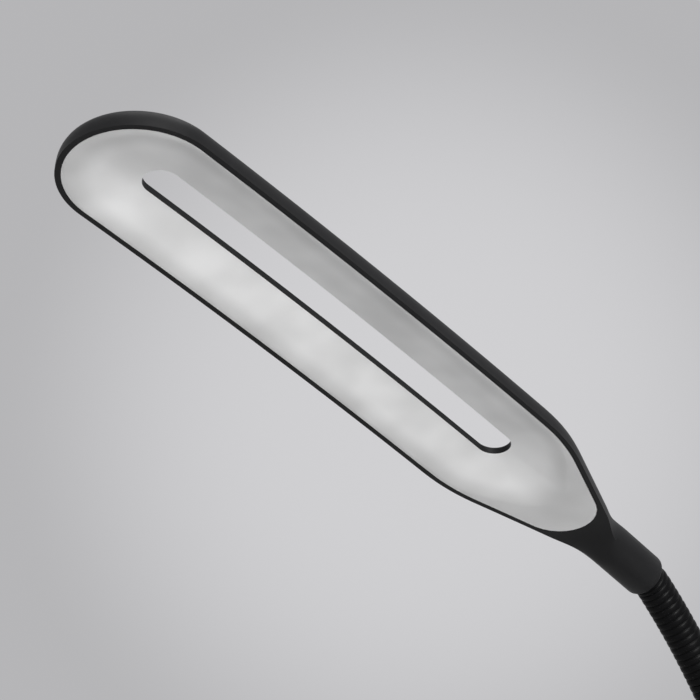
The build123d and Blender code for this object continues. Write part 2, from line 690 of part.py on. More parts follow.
with BuildPart() as base_screws:
    with BuildSketch(Plane.XY.offset(TRAY_Z + SCREW_SINK)):
        with Locations(*SCREW_PLACES):
            Circle(SCREW_HEAD_RADIUS)
    extrude(amount=-SCREW_HEAD_HEIGHT)
    with BuildSketch(Plane.XY.offset(TRAY_Z + SCREW_SINK)):
        with Locations(*SCREW_PLACES):
            Circle(SCREW_RADIUS)
    extrude(amount=SCREW_LENGTH)
base_screws.part.label = "base_screws"
export_step(base_screws.part, "parts/base_screws.step")


# The grips of the clip
def grip_pad(gripping_z, side):
    """A rubber pad whose gripping face at a height has short grooves across it."""
    with BuildPart() as pad:
        with BuildSketch(Plane.XY.offset(gripping_z)):
            RectangleRounded(PAD_LENGTH, PAD_WIDTH, PAD_CORNER)
        extrude(amount=side * PAD_THICKNESS)
        with BuildSketch(Plane.XY.offset(gripping_z)):
            with GridLocations((PAD_LENGTH - 2 * GROOVE_BORDER) / GROOVE_COUNT, 0, GROOVE_COUNT, 1):
                Rectangle(GROOVE_WIDTH, PAD_WIDTH - 2 * GROOVE_BORDER)
        extrude(amount=side * GROOVE_DEPTH, mode=Mode.SUBTRACT)
    return pad.part


with BuildPart() as upper_pad:
    add(grip_pad(0, 1))
upper_pad.part.label = "upper_pad"
export_step(upper_pad.part, "parts/upper_pad.step")

with BuildPart() as lower_pad:
    add(grip_pad(-JAW_GAP, -1))
lower_pad.part.label = "lower_pad"
export_step(lower_pad.part, "parts/lower_pad.step")


# The sprung lever: a jaw under the base, ears round the pin and a handle that slopes down
HANDLE_ALONG = Vector(cos(radians(HANDLE_SLOPE)), -sin(radians(HANDLE_SLOPE)))
HANDLE_UP = Vector(sin(radians(HANDLE_SLOPE)), cos(radians(HANDLE_SLOPE)))
PIVOT_2D = Vector(PIVOT_X, PIVOT_Z)


def handle_point(along, above):
    """A point of the handle, along it from under the pin and above its floor."""
    return PIVOT_2D + HANDLE_ALONG * along + HANDLE_UP * (above - PIVOT_CLEAR)


KNEE_TOP = (PIVOT_X - PIVOT_CLEAR * tan(radians(HANDLE_SLOPE / 2)), LEVER_TOP)
KNEE_BOTTOM = (
    PIVOT_X - (PIVOT_CLEAR + LEVER_FLOOR) * tan(radians(HANDLE_SLOPE / 2)),
    LEVER_BOTTOM,
)

with BuildPart() as jaw_lever:
    with BuildSketch(Plane.XZ):
        Polygon(
            (-BASE_FRONT, LEVER_TOP),
            (-BASE_FRONT, LEVER_BOTTOM),
            KNEE_BOTTOM,
            handle_point(HANDLE_LENGTH, -LEVER_FLOOR),
            handle_point(HANDLE_LENGTH, HANDLE_RIM),
            handle_point(0, HANDLE_RIM),
            (PIVOT_X, PIVOT_Z),
            (PIVOT_X, PIVOT_Z + EAR_RADIUS),
            (PIVOT_X - HEEL_LENGTH, PIVOT_Z + EAR_RADIUS),
            (PIVOT_X - HEEL_LENGTH, LEVER_TOP),
            align=None,
        )
        with Locations((PIVOT_X, PIVOT_Z)):
            Circle(EAR_RADIUS)
    extrude(amount=LEVER_WIDTH / 2, both=True)
    with BuildSketch(Plane.XZ):
        Polygon(
            (PIVOT_X - 2 * HEEL_LENGTH, LEVER_TOP),
            KNEE_TOP,
            handle_point(2 * HANDLE_LENGTH, 0),
            handle_point(2 * HANDLE_LENGTH, 2 * HANDLE_LENGTH),
            (PIVOT_X - 2 * HEEL_LENGTH, HANDLE_LENGTH),
            align=None,
        )
    extrude(amount=LEVER_WIDTH / 2 - LEVER_WALL, both=True, mode=Mode.SUBTRACT)
    with BuildSketch(Plane.XZ):
        with Locations((PIVOT_X, PIVOT_Z)):
            Circle(PIN_RADIUS + PIN_CLEARANCE)
    extrude(amount=LEVER_WIDTH, both=True, mode=Mode.SUBTRACT)
    lever_ends = jaw_lever.edges().filter_by(Axis.Z).sort_by(Axis.X)[:2]
    fillet(lever_ends, LEVER_CORNER)
jaw_lever.part.label = "jaw_lever"
export_step(jaw_lever.part, "parts/jaw_lever.step")

# Hinge pin, its ring and the torsion spring
PIN_END = LEVER_WIDTH / 2 + SIDE_GAP + LUG_THICKNESS

with BuildPart() as hinge_pin:
    with BuildSketch(Plane.XZ.offset(-PIN_END)):
        with Locations((PIVOT_X, PIVOT_Z)):
            Circle(PIN_RADIUS)
    extrude(amount=2 * PIN_END + 2 * RING_THICKNESS)
    with BuildSketch(Plane.XZ.offset(-PIN_END)):
        with Locations((PIVOT_X, PIVOT_Z)):
            Circle(PIN_HEAD_RADIUS)
    extrude(amount=-PIN_HEAD_HEIGHT)
hinge_pin.part.label = "hinge_pin"
export_step(hinge_pin.part, "parts/hinge_pin.step")

with BuildPart() as pin_ring:
    with BuildSketch(Plane.XZ.offset(PIN_END)):
        with Locations((PIVOT_X, PIVOT_Z)):
            Circle(RING_RADIUS)
            Circle(PIN_RADIUS, mode=Mode.SUBTRACT)
        with Locations((PIVOT_X + RING_RADIUS, PIVOT_Z)):
            Rectangle(2 * RING_RADIUS, PIN_RADIUS, mode=Mode.SUBTRACT)
    extrude(amount=RING_THICKNESS)
pin_ring.part.label = "pin_ring"
export_step(pin_ring.part, "parts/pin_ring.step")

COIL_ANGLE = 360 * COIL_TURNS + 180 - HANDLE_SLOPE
COIL_RATE = COIL_PITCH / 360


def coil_point(angle):
    """A point of the coil's centreline, wound from the top over the front."""
    turn = radians(angle)
    return Vector(
        PIVOT_X - COIL_RADIUS * sin(turn),
        COIL_RATE * (angle - COIL_ANGLE / 2),
        PIVOT_Z + COIL_RADIUS * cos(turn),
    )


def coil_tangent(angle):
    """The coil's direction at an angle; its two ends lie square to the pin, as the legs do."""
    turn = radians(angle)
    drift = 0 if angle in (0, COIL_ANGLE) else degrees(COIL_RATE)
    return Vector(-COIL_RADIUS * cos(turn), drift, -COIL_RADIUS * sin(turn)).normalized()


def biarc_middle(start, start_tangent, end, end_tangent):
    """Where two arcs of equal reach meet, and their direction there."""
    chord = end - start
    both = start_tangent + end_tangent
    square = 2 * (1 - start_tangent.dot(end_tangent))
    straight = 2 * chord.dot(both)
    reach = (sqrt(straight**2 + 4 * square * chord.dot(chord)) - straight) / (2 * square)
    middle = (start + end + (start_tangent - end_tangent) * reach) / 2
    return middle, (chord - both * reach).normalized()


COIL_STEPS = round(COIL_ANGLE / 90)

with BuildPart() as clip_spring:
    with BuildLine() as wire_path:
        leg_start = coil_point(0) - coil_tangent(0) * SPRING_LEG
        Line(leg_start, coil_point(0))
        for step in range(COIL_STEPS):
            start_angle = COIL_ANGLE * step / COIL_STEPS
            end_angle = COIL_ANGLE * (step + 1) / COIL_STEPS
            start, start_tangent = coil_point(start_angle), coil_tangent(start_angle)
            end, end_tangent = coil_point(end_angle), coil_tangent(end_angle)
            middle, middle_tangent = biarc_middle(start, start_tangent, end, end_tangent)
            TangentArc(start, middle, tangent=start_tangent)
            TangentArc(middle, end, tangent=middle_tangent)
        Line(coil_point(COIL_ANGLE), coil_point(COIL_ANGLE) + coil_tangent(COIL_ANGLE) * SPRING_LEG)
    with BuildSketch(Plane(origin=leg_start, x_dir=(0, 1, 0), z_dir=coil_tangent(0))):
        RegularPolygon(WIRE_RADIUS, WIRE_SIDES)
    sweep()
clip_spring.part.label = "clip_spring"
export_step(clip_spring.part, "parts/clip_spring.step")

wire_line = wire_path.wires()[0]
samples = [wire_line.position_at(step / 400) for step in range(401)]
spacing = wire_line.length / 400
apart = round(4 * WIRE_RADIUS / spacing)
least = min(
    (samples[second] - samples[first]).length
    for first in range(401)
    for second in range(first + apart, 401)
)
print("spring: least gap between turns", round(least - 2 * WIRE_RADIUS, 3))

# Push button, switch, driver board and power inlet
SWITCH_TOP = CIRCUIT_TOP + SWITCH_HEIGHT
PLUNGER_TOP = SWITCH_TOP + PLUNGER_PROUD
FLANGE_TOP = CEILING_Z - BUTTON_GAP

with BuildPart() as push_button:
    with BuildSketch(Plane.XY.offset(FLANGE_TOP - BUTTON_FLANGE)):
        with Locations((BUTTON_X, 0)):
            Circle(BUTTON_RADIUS + BUTTON_FLANGE)
    extrude(amount=BUTTON_FLANGE)
    with BuildSketch(Plane.XY.offset(FLANGE_TOP)):
        with Locations((BUTTON_X, 0)):
            Circle(BUTTON_RADIUS)
    extrude(amount=BASE_TOP + BUTTON_PROUD - FLANGE_TOP)
    chamfer(push_button.faces().sort_by(Axis.Z)[-1].edges(), BUTTON_PROUD / 2)
    with BuildSketch(Plane.XY.offset(PLUNGER_TOP)):
        with Locations((BUTTON_X, 0)):
            Circle(BUTTON_STEM_RADIUS)
    extrude(amount=FLANGE_TOP - BUTTON_FLANGE - PLUNGER_TOP)
push_button.part.label = "push_button"
export_step(push_button.part, "parts/push_button.step")

with BuildPart() as switch_plunger:
    with BuildSketch(Plane.XY.offset(PLUNGER_TOP)):
        with Locations((BUTTON_X, 0)):
            Circle(PLUNGER_RADIUS)
    extrude(amount=-2 * PLUNGER_PROUD)
switch_plunger.part.label = "switch_plunger"
export_step(switch_plunger.part, "parts/switch_plunger.step")

with BuildPart() as button_switch:
    with BuildSketch(Plane.XY.offset(CIRCUIT_TOP)):
        with Locations((BUTTON_X, 0)):
            Rectangle(SWITCH_SIDE, SWITCH_SIDE)
    extrude(amount=SWITCH_HEIGHT)
    with BuildSketch(Plane.XY.offset(SWITCH_TOP)):
        with Locations((BUTTON_X, 0)):
            Circle(PLUNGER_RADIUS + PLUNGER_GAP)
    extrude(amount=-(PLUNGER_PROUD + 2 * BUTTON_TRAVEL), mode=Mode.SUBTRACT)
button_switch.part.label = "button_switch"
export_step(button_switch.part, "parts/button_switch.step")

with BuildPart() as driver_board:
    with BuildSketch(Plane.XY.offset(CIRCUIT_Z)):
        with Locations((CIRCUIT_X, 0)):
            Rectangle(CIRCUIT_LENGTH, CIRCUIT_WIDTH)
    extrude(amount=CIRCUIT_THICKNESS)
driver_board.part.label = "driver_board"
export_step(driver_board.part, "parts/driver_board.step")

with BuildPart() as board_components:
    with BuildSketch(Plane.XY.offset(CIRCUIT_TOP)):
        with Locations((CAPACITOR_X, -CIRCUIT_WIDTH / 4)):
            Circle(CAPACITOR_RADIUS)
    extrude(amount=CAPACITOR_HEIGHT)
    with BuildSketch(Plane.XY.offset(CIRCUIT_TOP)):
        with Locations((CAPACITOR_X, CIRCUIT_WIDTH / 4)):
            RectangleRounded(COIL_SIDE, COIL_SIDE, COIL_SIDE / 5)
    extrude(amount=COIL_HEIGHT)
    with BuildSketch(Plane.XY.offset(CIRCUIT_TOP)):
        with Locations(((CAPACITOR_X + PLUG_X) / 2, -CIRCUIT_WIDTH / 4)):
            Rectangle(CHIP_LENGTH, CHIP_WIDTH)
    extrude(amount=CHIP_HEIGHT)
    with BuildSketch(Plane.XY.offset(CIRCUIT_TOP)):
        with Locations((PLUG_X, PLUG_Y)):
            Rectangle(PLUG_SIDE, PLUG_SIDE)
    extrude(amount=PLUG_HEIGHT)
board_components.part.label = "board_components"
export_step(board_components.part, "parts/board_components.step")

with BuildPart() as power_inlet:
    with BuildSketch(Plane.YZ.offset(BASE_REAR - INLET_DEPTH)):
        with Locations((0, CIRCUIT_TOP + INLET_HEIGHT / 2)):
            SlotOverall(INLET_WIDTH, INLET_HEIGHT)
    extrude(amount=INLET_DEPTH)
    with BuildSketch(Plane.YZ.offset(BASE_REAR - INLET_DEPTH + 2 * INLET_WALL)):
        with Locations((0, CIRCUIT_TOP + INLET_HEIGHT / 2)):
            SlotOverall(INLET_WIDTH - 2 * INLET_WALL, INLET_HEIGHT - 2 * INLET_WALL)
    extrude(amount=INLET_DEPTH, mode=Mode.SUBTRACT)
    with BuildSketch(Plane.YZ.offset(BASE_REAR - INLET_DEPTH)):
        with Locations((0, CIRCUIT_TOP + INLET_HEIGHT / 2)):
            Rectangle(INLET_TONGUE_WIDTH, INLET_TONGUE_HEIGHT)
    extrude(amount=INLET_TONGUE_LENGTH)
power_inlet.part.label = "power_inlet"
export_step(power_inlet.part, "parts/power_inlet.step")

LEAD_START_X = PLUG_X - PLUG_SIDE / 2 - LEAD_RADIUS / 2 - FIT_GAP
LEAD_Z = CIRCUIT_TOP + PLUG_HEIGHT / 2

with BuildPart() as base_leads:
    for side in (-1, 1):
        lead_start = (LEAD_START_X, PLUG_Y + 2 * side * LEAD_SPREAD, LEAD_Z)
        lead_turn = (SOCKET_X, side * LEAD_SPREAD, LEAD_Z)
        lead_end = (SOCKET_X, side * LEAD_SPREAD, SOCKET_TOP)
        with BuildLine():
            FilletPolyline(lead_start, lead_turn, lead_end, radius=4 * LEAD_RADIUS)
        lead_way = Vector(*lead_turn) - Vector(*lead_start)
        with BuildSketch(Plane(origin=lead_start, z_dir=lead_way)):
            RegularPolygon(LEAD_RADIUS, WIRE_SIDES)
        sweep()
base_leads.part.label = "base_leads"
export_step(base_leads.part, "parts/base_leads.step")
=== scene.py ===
"""Looks of a clip-on reading lamp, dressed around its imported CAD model.

Lengths are in metres and angles in radians, in the shared frame: +Z up, the head towards -X,
and the origin on the face of the pad that rests on the clipped board.
"""

import json
import logging
from collections.abc import Callable
from dataclasses import dataclass, field
from enum import Enum
from functools import lru_cache
from math import cos, exp, pi, radians, sin, sqrt

import bmesh
import bpy
from mathutils import Euler, Matrix, Vector

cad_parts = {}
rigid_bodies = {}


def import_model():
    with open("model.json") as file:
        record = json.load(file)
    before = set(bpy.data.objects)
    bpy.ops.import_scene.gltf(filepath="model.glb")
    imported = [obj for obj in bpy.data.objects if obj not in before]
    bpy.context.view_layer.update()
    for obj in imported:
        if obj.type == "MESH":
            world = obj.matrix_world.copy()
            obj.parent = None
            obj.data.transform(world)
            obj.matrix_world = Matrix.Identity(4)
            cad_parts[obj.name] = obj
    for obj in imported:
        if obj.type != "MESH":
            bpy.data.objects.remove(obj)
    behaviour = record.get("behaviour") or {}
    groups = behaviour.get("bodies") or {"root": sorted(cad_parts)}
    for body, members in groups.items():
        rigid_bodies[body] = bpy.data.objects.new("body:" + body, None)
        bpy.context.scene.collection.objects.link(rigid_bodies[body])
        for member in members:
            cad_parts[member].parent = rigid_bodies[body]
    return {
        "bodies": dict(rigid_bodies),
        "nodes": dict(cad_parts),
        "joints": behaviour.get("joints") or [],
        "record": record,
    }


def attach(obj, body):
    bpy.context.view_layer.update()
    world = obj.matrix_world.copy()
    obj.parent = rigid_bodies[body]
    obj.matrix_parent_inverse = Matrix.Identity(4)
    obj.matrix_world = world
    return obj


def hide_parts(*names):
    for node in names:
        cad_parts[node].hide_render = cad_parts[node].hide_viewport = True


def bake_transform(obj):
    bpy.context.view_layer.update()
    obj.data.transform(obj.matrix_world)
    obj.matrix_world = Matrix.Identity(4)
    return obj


LOG = logging.getLogger("clip_lamp")
MERGE_DISTANCE = 2e-6
HEIGHT_ATTRIBUTE = "funnel_height"

# The head's lean, its arch and the start of its collar, which the gooseneck's end follows too
HEAD_DROOP = radians(3.3)
HEAD_ARCH_RADIUS = 2.310
COLLAR_START = 0.218

# The spans of a noise that gloss and colour are mapped from, and the blots' roughness
GLOSS_SPAN = (0.3, 0.7)
TONE_SPAN = (0.2, 0.8)
BLOT_ROUGHNESS = 0.55

# The share of the funnel's depth over which the painted shade at the light face's margin fades
PAINTED_SHADE_SPAN = (0.0, 0.4)

# Angles past which an edge is sharp or rounded, and below which two faces are one
GRID_CREASE = radians(32.0)
COPY_CREASE = radians(28.0)
SHELL_CORNER = radians(42.0)
COPY_CORNER = radians(40.0)
FLAT_ANGLE = radians(0.4)


class NodeGraph:
    """A material's or a world's node tree, with short calls that add and join nodes."""

    def __init__(self, tree: bpy.types.NodeTree) -> None:
        """Empties the tree.

        Args:
            tree: the node tree to fill.
        """
        self.tree = tree
        tree.nodes.clear()

    def add(self, kind: str, **values: object) -> bpy.types.Node:
        """Adds a node and sets values on its sockets.

        Args:
            kind: the node's Blender type.
            values: socket names, with underscores for spaces, and their values.

        Returns:
            The new node.
        """
        node = self.tree.nodes.new(kind)
        for name, value in values.items():
            node.inputs[name.replace("_", " ")].default_value = value
        return node

    def join(self, source: bpy.types.NodeSocket, target: bpy.types.NodeSocket) -> None:
        """Links an output socket to an input socket."""
        self.tree.links.new(source, target)

    def noise(
        self, place: bpy.types.NodeSocket, size: float, detail: float
    ) -> bpy.types.NodeSocket:
        """Adds a noise.

        Args:
            place: the socket with the coordinates.
            size: the size of its blots in metres.
            detail: how many finer layers it has.

        Returns:
            The socket with its factor.
        """
        noise = self.add(
            "ShaderNodeTexNoise", Scale=1.0 / size, Detail=detail, Roughness=BLOT_ROUGHNESS
        )
        self.join(place, noise.inputs["Vector"])
        return noise.outputs["Fac"]

    def span(
        self,
        value: bpy.types.NodeSocket,
        source: tuple[float, float],
        target: tuple[float, float],
    ) -> bpy.types.NodeSocket:
        """Maps a value smoothly from one span to another.

        Args:
            value: the value's socket.
            source: the low and the high end of its span.
            target: what these ends are mapped to.

        Returns:
            The socket with the mapped value.
        """
        node = self.add(
            "ShaderNodeMapRange",
            From_Min=source[0],
            From_Max=source[1],
            To_Min=target[0],
            To_Max=target[1],
        )
        node.interpolation_type = "SMOOTHSTEP"
        self.join(value, node.inputs["Value"])
        return node.outputs["Result"]

    def tones(
        self,
        value: bpy.types.NodeSocket,
        dark: tuple[float, float, float],
        light: tuple[float, float, float],
    ) -> bpy.types.NodeSocket:
        """Maps a noise to colours.

        Args:
            value: the noise's socket.
            dark: the colour at its low end.
            light: the colour at its high end.

        Returns:
            The socket with the colour.
        """
        ramp = self.add("ShaderNodeValToRGB")
        first, last = ramp.color_ramp.elements
        ramp.color_ramp.interpolation = "EASE"
        first.position, last.position = TONE_SPAN
        first.color, last.color = (*dark, 1.0), (*light, 1.0)
        self.join(value, ramp.inputs["Fac"])
        return ramp.outputs["Color"]

    def paint_margin_shade(
        self, colour: bpy.types.NodeSocket, shade: float
    ) -> bpy.types.NodeSocket:
        """Paints shade into a colour along the margin, where the light face meets its dark
        housing.

        Args:
            colour: the colour away from the margin.
            shade: the share of the colour that the painted shade takes away at the margin.

        Returns:
            The colour with its painted shade, which follows the piece's funnel_height
            attribute.
        """
        height = self.add("ShaderNodeAttribute")
        height.attribute_name = HEIGHT_ATTRIBUTE
        # The share of the colour that the painted shade leaves, lowest where the funnel is low
        light = self.span(height.outputs["Fac"], PAINTED_SHADE_SPAN, (1.0 - shade, 1.0))
        scale = self.add("ShaderNodeVectorMath")
        scale.operation = "SCALE"
        self.join(colour, scale.inputs[0])
        self.join(light, scale.inputs["Scale"])
        return scale.outputs["Vector"]


@dataclass(frozen=True)
class Finish:
    """A surface with a colour that drifts slightly, a fine grain and an uneven gloss.

    The drift is a share of the colour, the gloss drift a step of the roughness, and the
    smear share sets the size of the gloss's smears against that of the colour's blots.
    """

    name: str
    colour: tuple[float, float, float]
    roughness: float
    grain_size: float
    grain_depth: float
    grain_detail: float = 2.0
    drift: float = 0.12
    drift_size: float = 0.015
    drift_detail: float = 3.0
    gloss_drift: float = 0.05
    smear_share: float = 0.4
    metallic: float = 0.0
    specular: float = 0.5
    # The share of the colour taken away as painted shade at a light face's margin
    painted_margin_shade: float = 0.0

    @property
    def slot(self) -> str:
        """The material slot, which has the finish's name."""
        return self.name

    @lru_cache(maxsize=None)
    def material(self) -> bpy.types.Material:
        """Builds the finish's node material once.

        Returns:
            The material.
        """
        material = bpy.data.materials.new(self.name)
        material.use_nodes = True
        graph = NodeGraph(material.node_tree)
        output = graph.add("ShaderNodeOutputMaterial")
        shader = graph.add("ShaderNodeBsdfPrincipled", Metallic=self.metallic)
        shader.inputs["Specular IOR Level"].default_value = self.specular
        graph.join(shader.outputs["BSDF"], output.inputs["Surface"])
        place = graph.add("ShaderNodeTexCoord").outputs["Object"]
        blots = graph.noise(place, self.drift_size, self.drift_detail)
        dark = tuple(part * (1.0 - self.drift) for part in self.colour)
        light = tuple(part * (1.0 + self.drift) for part in self.colour)
        colour = graph.tones(blots, dark, light)
        # A light face gets painted shade along its margin, darker where its funnel is low
        if self.painted_margin_shade > 0.0:
            colour = graph.paint_margin_shade(colour, self.painted_margin_shade)
        graph.join(colour, shader.inputs["Base Color"])
        smears = graph.noise(place, self.drift_size * self.smear_share, self.drift_detail)
        glosses = (self.roughness - self.gloss_drift, self.roughness + self.gloss_drift)
        graph.join(graph.span(smears, GLOSS_SPAN, glosses), shader.inputs["Roughness"])
        grain = graph.noise(place, self.grain_size, self.grain_detail)
        relief = graph.add("ShaderNodeBump", Strength=1.0, Distance=self.grain_depth)
        graph.join(grain, relief.inputs["Height"])
        graph.join(relief.outputs["Normal"], shader.inputs["Normal"])
        return material


HEAD_BLACK = Finish(
    "head_black",
    (0.009, 0.009, 0.0095),
    roughness=0.42,
    grain_size=0.00035,
    grain_depth=0.000006,
    gloss_drift=0.012,
    specular=0.12,
)
BASE_BLACK = Finish(
    "base_black",
    (0.008, 0.008, 0.0085),
    roughness=0.5,
    grain_size=0.0005,
    grain_depth=0.00002,
    specular=0.3,
)
OPAL = Finish(
    "opal_diffuser",
    (0.66, 0.66, 0.658),
    roughness=0.3,
    grain_size=0.0006,
    grain_depth=0.000002,
    drift=0.09,
    drift_size=0.016,
    drift_detail=1.0,
    gloss_drift=0.0,
    specular=0.4,
    # Painted shade along the face's margin, next to the black rim
    painted_margin_shade=0.2,
)
NECK_BLACK = Finish(
    "gooseneck_rubber",
    (0.0018, 0.0018, 0.002),
    roughness=0.4,
    grain_size=0.0003,
    grain_depth=0.000006,
    specular=0.085,
)
FERRULE_BLACK = Finish(
    "black_metal",
    (0.009, 0.009, 0.0095),
    roughness=0.36,
    grain_size=0.0004,
    grain_depth=0.00001,
    specular=0.4,
)
PAD_BLACK = Finish(
    "pad_rubber",
    (0.016, 0.016, 0.0165),
    roughness=0.72,
    grain_size=0.0004,
    grain_depth=0.00004,
    specular=0.3,
)
STEEL = Finish(
    "plated_steel",
    (0.56, 0.56, 0.54),
    roughness=0.3,
    grain_size=0.0003,
    grain_depth=0.000006,
    metallic=1.0,
)
SPRING = Finish(
    "spring_steel",
    (0.36, 0.35, 0.34),
    roughness=0.33,
    grain_size=0.0002,
    grain_depth=0.000008,
    metallic=1.0,
)
BUTTON = Finish(
    "button_black",
    (0.018, 0.018, 0.0185),
    roughness=0.36,
    grain_size=0.0004,
    grain_depth=0.000008,
)
SWITCH = Finish(
    "switch_plastic",
    (0.05, 0.05, 0.05),
    roughness=0.5,
    grain_size=0.0003,
    grain_depth=0.00001,
)
BOARD = Finish(
    "circuit_board",
    (0.6, 0.61, 0.59),
    roughness=0.45,
    grain_size=0.0004,
    grain_depth=0.00001,
)
PHOSPHOR = Finish(
    "led_yellow", (0.8, 0.62, 0.14), roughness=0.3, grain_size=0.0003, grain_depth=0.00001
)
SHEATH = Finish(
    "lead_sheath", (0.35, 0.03, 0.02), roughness=0.5, grain_size=0.0004, grain_depth=0.00001
)
CHIPS = Finish(
    "component_black",
    (0.03, 0.03, 0.03),
    roughness=0.5,
    grain_size=0.0003,
    grain_depth=0.00001,
)


class EdgeRound(Enum):
    """Widths that a moulded or pressed edge is rounded by."""

    NONE = 0.0
    FINE = 0.00012
    MOULDED = 0.0003


def finish_piece(
    piece: bpy.types.Object, finish: Finish, body: str, nodes: tuple[str, ...]
) -> bpy.types.Object:
    """Gives a new piece its finish and its body, and hides the CAD nodes that it stands for.

    Args:
        piece: the piece.
        finish: its finish.
        body: the body that it rides on.
        nodes: the CAD nodes that it replaces.

    Returns:
        The piece.
    """
    piece.data.materials.append(finish.material())
    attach(piece, body)
    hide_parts(*nodes)
    LOG.info("%s: %d faces on %s", piece.name, len(piece.data.polygons), body)
    return piece


def link_mesh(name: str, shape: bmesh.types.BMesh) -> bpy.types.Object:
    """Writes a bmesh to a new smooth-shaded object of the scene.

    Args:
        name: the object's name.
        shape: the bmesh, which is freed.

    Returns:
        The object.
    """
    for face in shape.faces:
        face.smooth = True
    mesh = bpy.data.meshes.new(name)
    shape.to_mesh(mesh)
    shape.free()
    piece = bpy.data.objects.new(name, mesh)
    bpy.context.scene.collection.objects.link(piece)
    return piece


def ease(share: float) -> float:
    """Turns an even share into one that starts and ends gently."""
    return share * share * (3.0 - 2.0 * share)


def mark_creases(shape: bmesh.types.BMesh, limit: float) -> None:
    """Marks the edges that bend by more than a limit as sharp.

    Args:
        shape: the bmesh.
        limit: the angle.
    """
    for seam in shape.edges:
        seam.smooth = seam.calc_face_angle(0.0) < limit


def round_edges(
    piece: bpy.types.Object, edge: EdgeRound, segments: int, limit: float
) -> None:
    """Rounds the sharp edges of a piece.

    Args:
        piece: the piece.
        edge: how wide the rounding is.
        segments: how many facets it has.
        limit: the angle past which an edge is rounded.
    """
    rounding = piece.modifiers.new("edge_rounding", "BEVEL")
    rounding.width = edge.value
    rounding.segments = segments
    rounding.profile = 0.5
    rounding.limit_method = "ANGLE"
    rounding.angle_limit = limit
    rounding.harden_normals = True


def folded_grid(
    name: str, columns: int, rows: int, place: Callable[[int, int], Vector]
) -> bpy.types.Object:
    """Folds a flat grid into half of a closed piece and mirrors it about Y = 0.

    Args:
        name: the piece's name.
        columns: how many faces go round one ring.
        rows: how many faces go from the first ring to the last.
        place: gives the point of a column on a row.

    Returns:
        The piece.
    """
    shape = bmesh.new()
    bmesh.ops.create_grid(shape, x_segments=columns, y_segments=rows, size=1.0)
    for vert in shape.verts:
        column = round((vert.co.x + 1.0) / 2.0 * columns)
        row = round((vert.co.y + 1.0) / 2.0 * rows)
        vert.co = place(column, row)
        if abs(vert.co.y) < MERGE_DISTANCE:
            vert.co.y = 0.0
    bmesh.ops.remove_doubles(shape, verts=shape.verts, dist=MERGE_DISTANCE)
    middle = [face for face in shape.faces if all(vert.co.y == 0.0 for vert in face.verts)]
    bmesh.ops.delete(shape, geom=middle, context="FACES")
    everything = list(shape.verts) + list(shape.edges) + list(shape.faces)
    bmesh.ops.mirror(shape, geom=everything, merge_dist=MERGE_DISTANCE, axis="Y")
    bmesh.ops.recalc_face_normals(shape, faces=shape.faces)
    mark_creases(shape, GRID_CREASE)
    return link_mesh(name, shape)


class LampModel:
    """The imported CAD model, and the two ways that its nodes are dressed."""

    def __init__(self, frame: dict) -> None:
        """Keeps the frame.
        """
        self.nodes: dict[str, bpy.types.Object] = frame["nodes"]
        bodies = frame["record"]["behaviour"]["bodies"]
        self.body_of = {node: body for body, members in bodies.items() for node in members}

    def paint(self, node: str, finish: Finish) -> None:
        """Gives a CAD node that keeps its own mesh a finish.

        Args:
            node: the CAD node.
            finish: its finish.
        """
        mesh = self.nodes[node].data
        mesh.materials.clear()
        mesh.materials.append(finish.material())
        LOG.info("%s: painted", node)

    def dress(self, node: str, finish: Finish, edge: EdgeRound) -> bpy.types.Object:
        """Stands a smooth copy of a CAD node, with rounded edges, in the node's place.

        Args:
            node: the CAD node.
            finish: the copy's finish.
            edge: how wide its sharp edges are rounded.

        Returns:
            The copy.
        """
        shape = bmesh.new()
        shape.from_mesh(self.nodes[node].data)
        bmesh.ops.remove_doubles(shape, verts=shape.verts, dist=MERGE_DISTANCE)
        bmesh.ops.dissolve_limit(
            shape, angle_limit=FLAT_ANGLE, verts=shape.verts, edges=shape.edges
        )
        mark_creases(shape, COPY_CREASE)
        piece = link_mesh(f"{node}_skin", shape)
        if edge is not EdgeRound.NONE:
            round_edges(piece, edge, segments=2, limit=COPY_CORNER)
        return finish_piece(piece, finish, self.body_of[node], (node,))


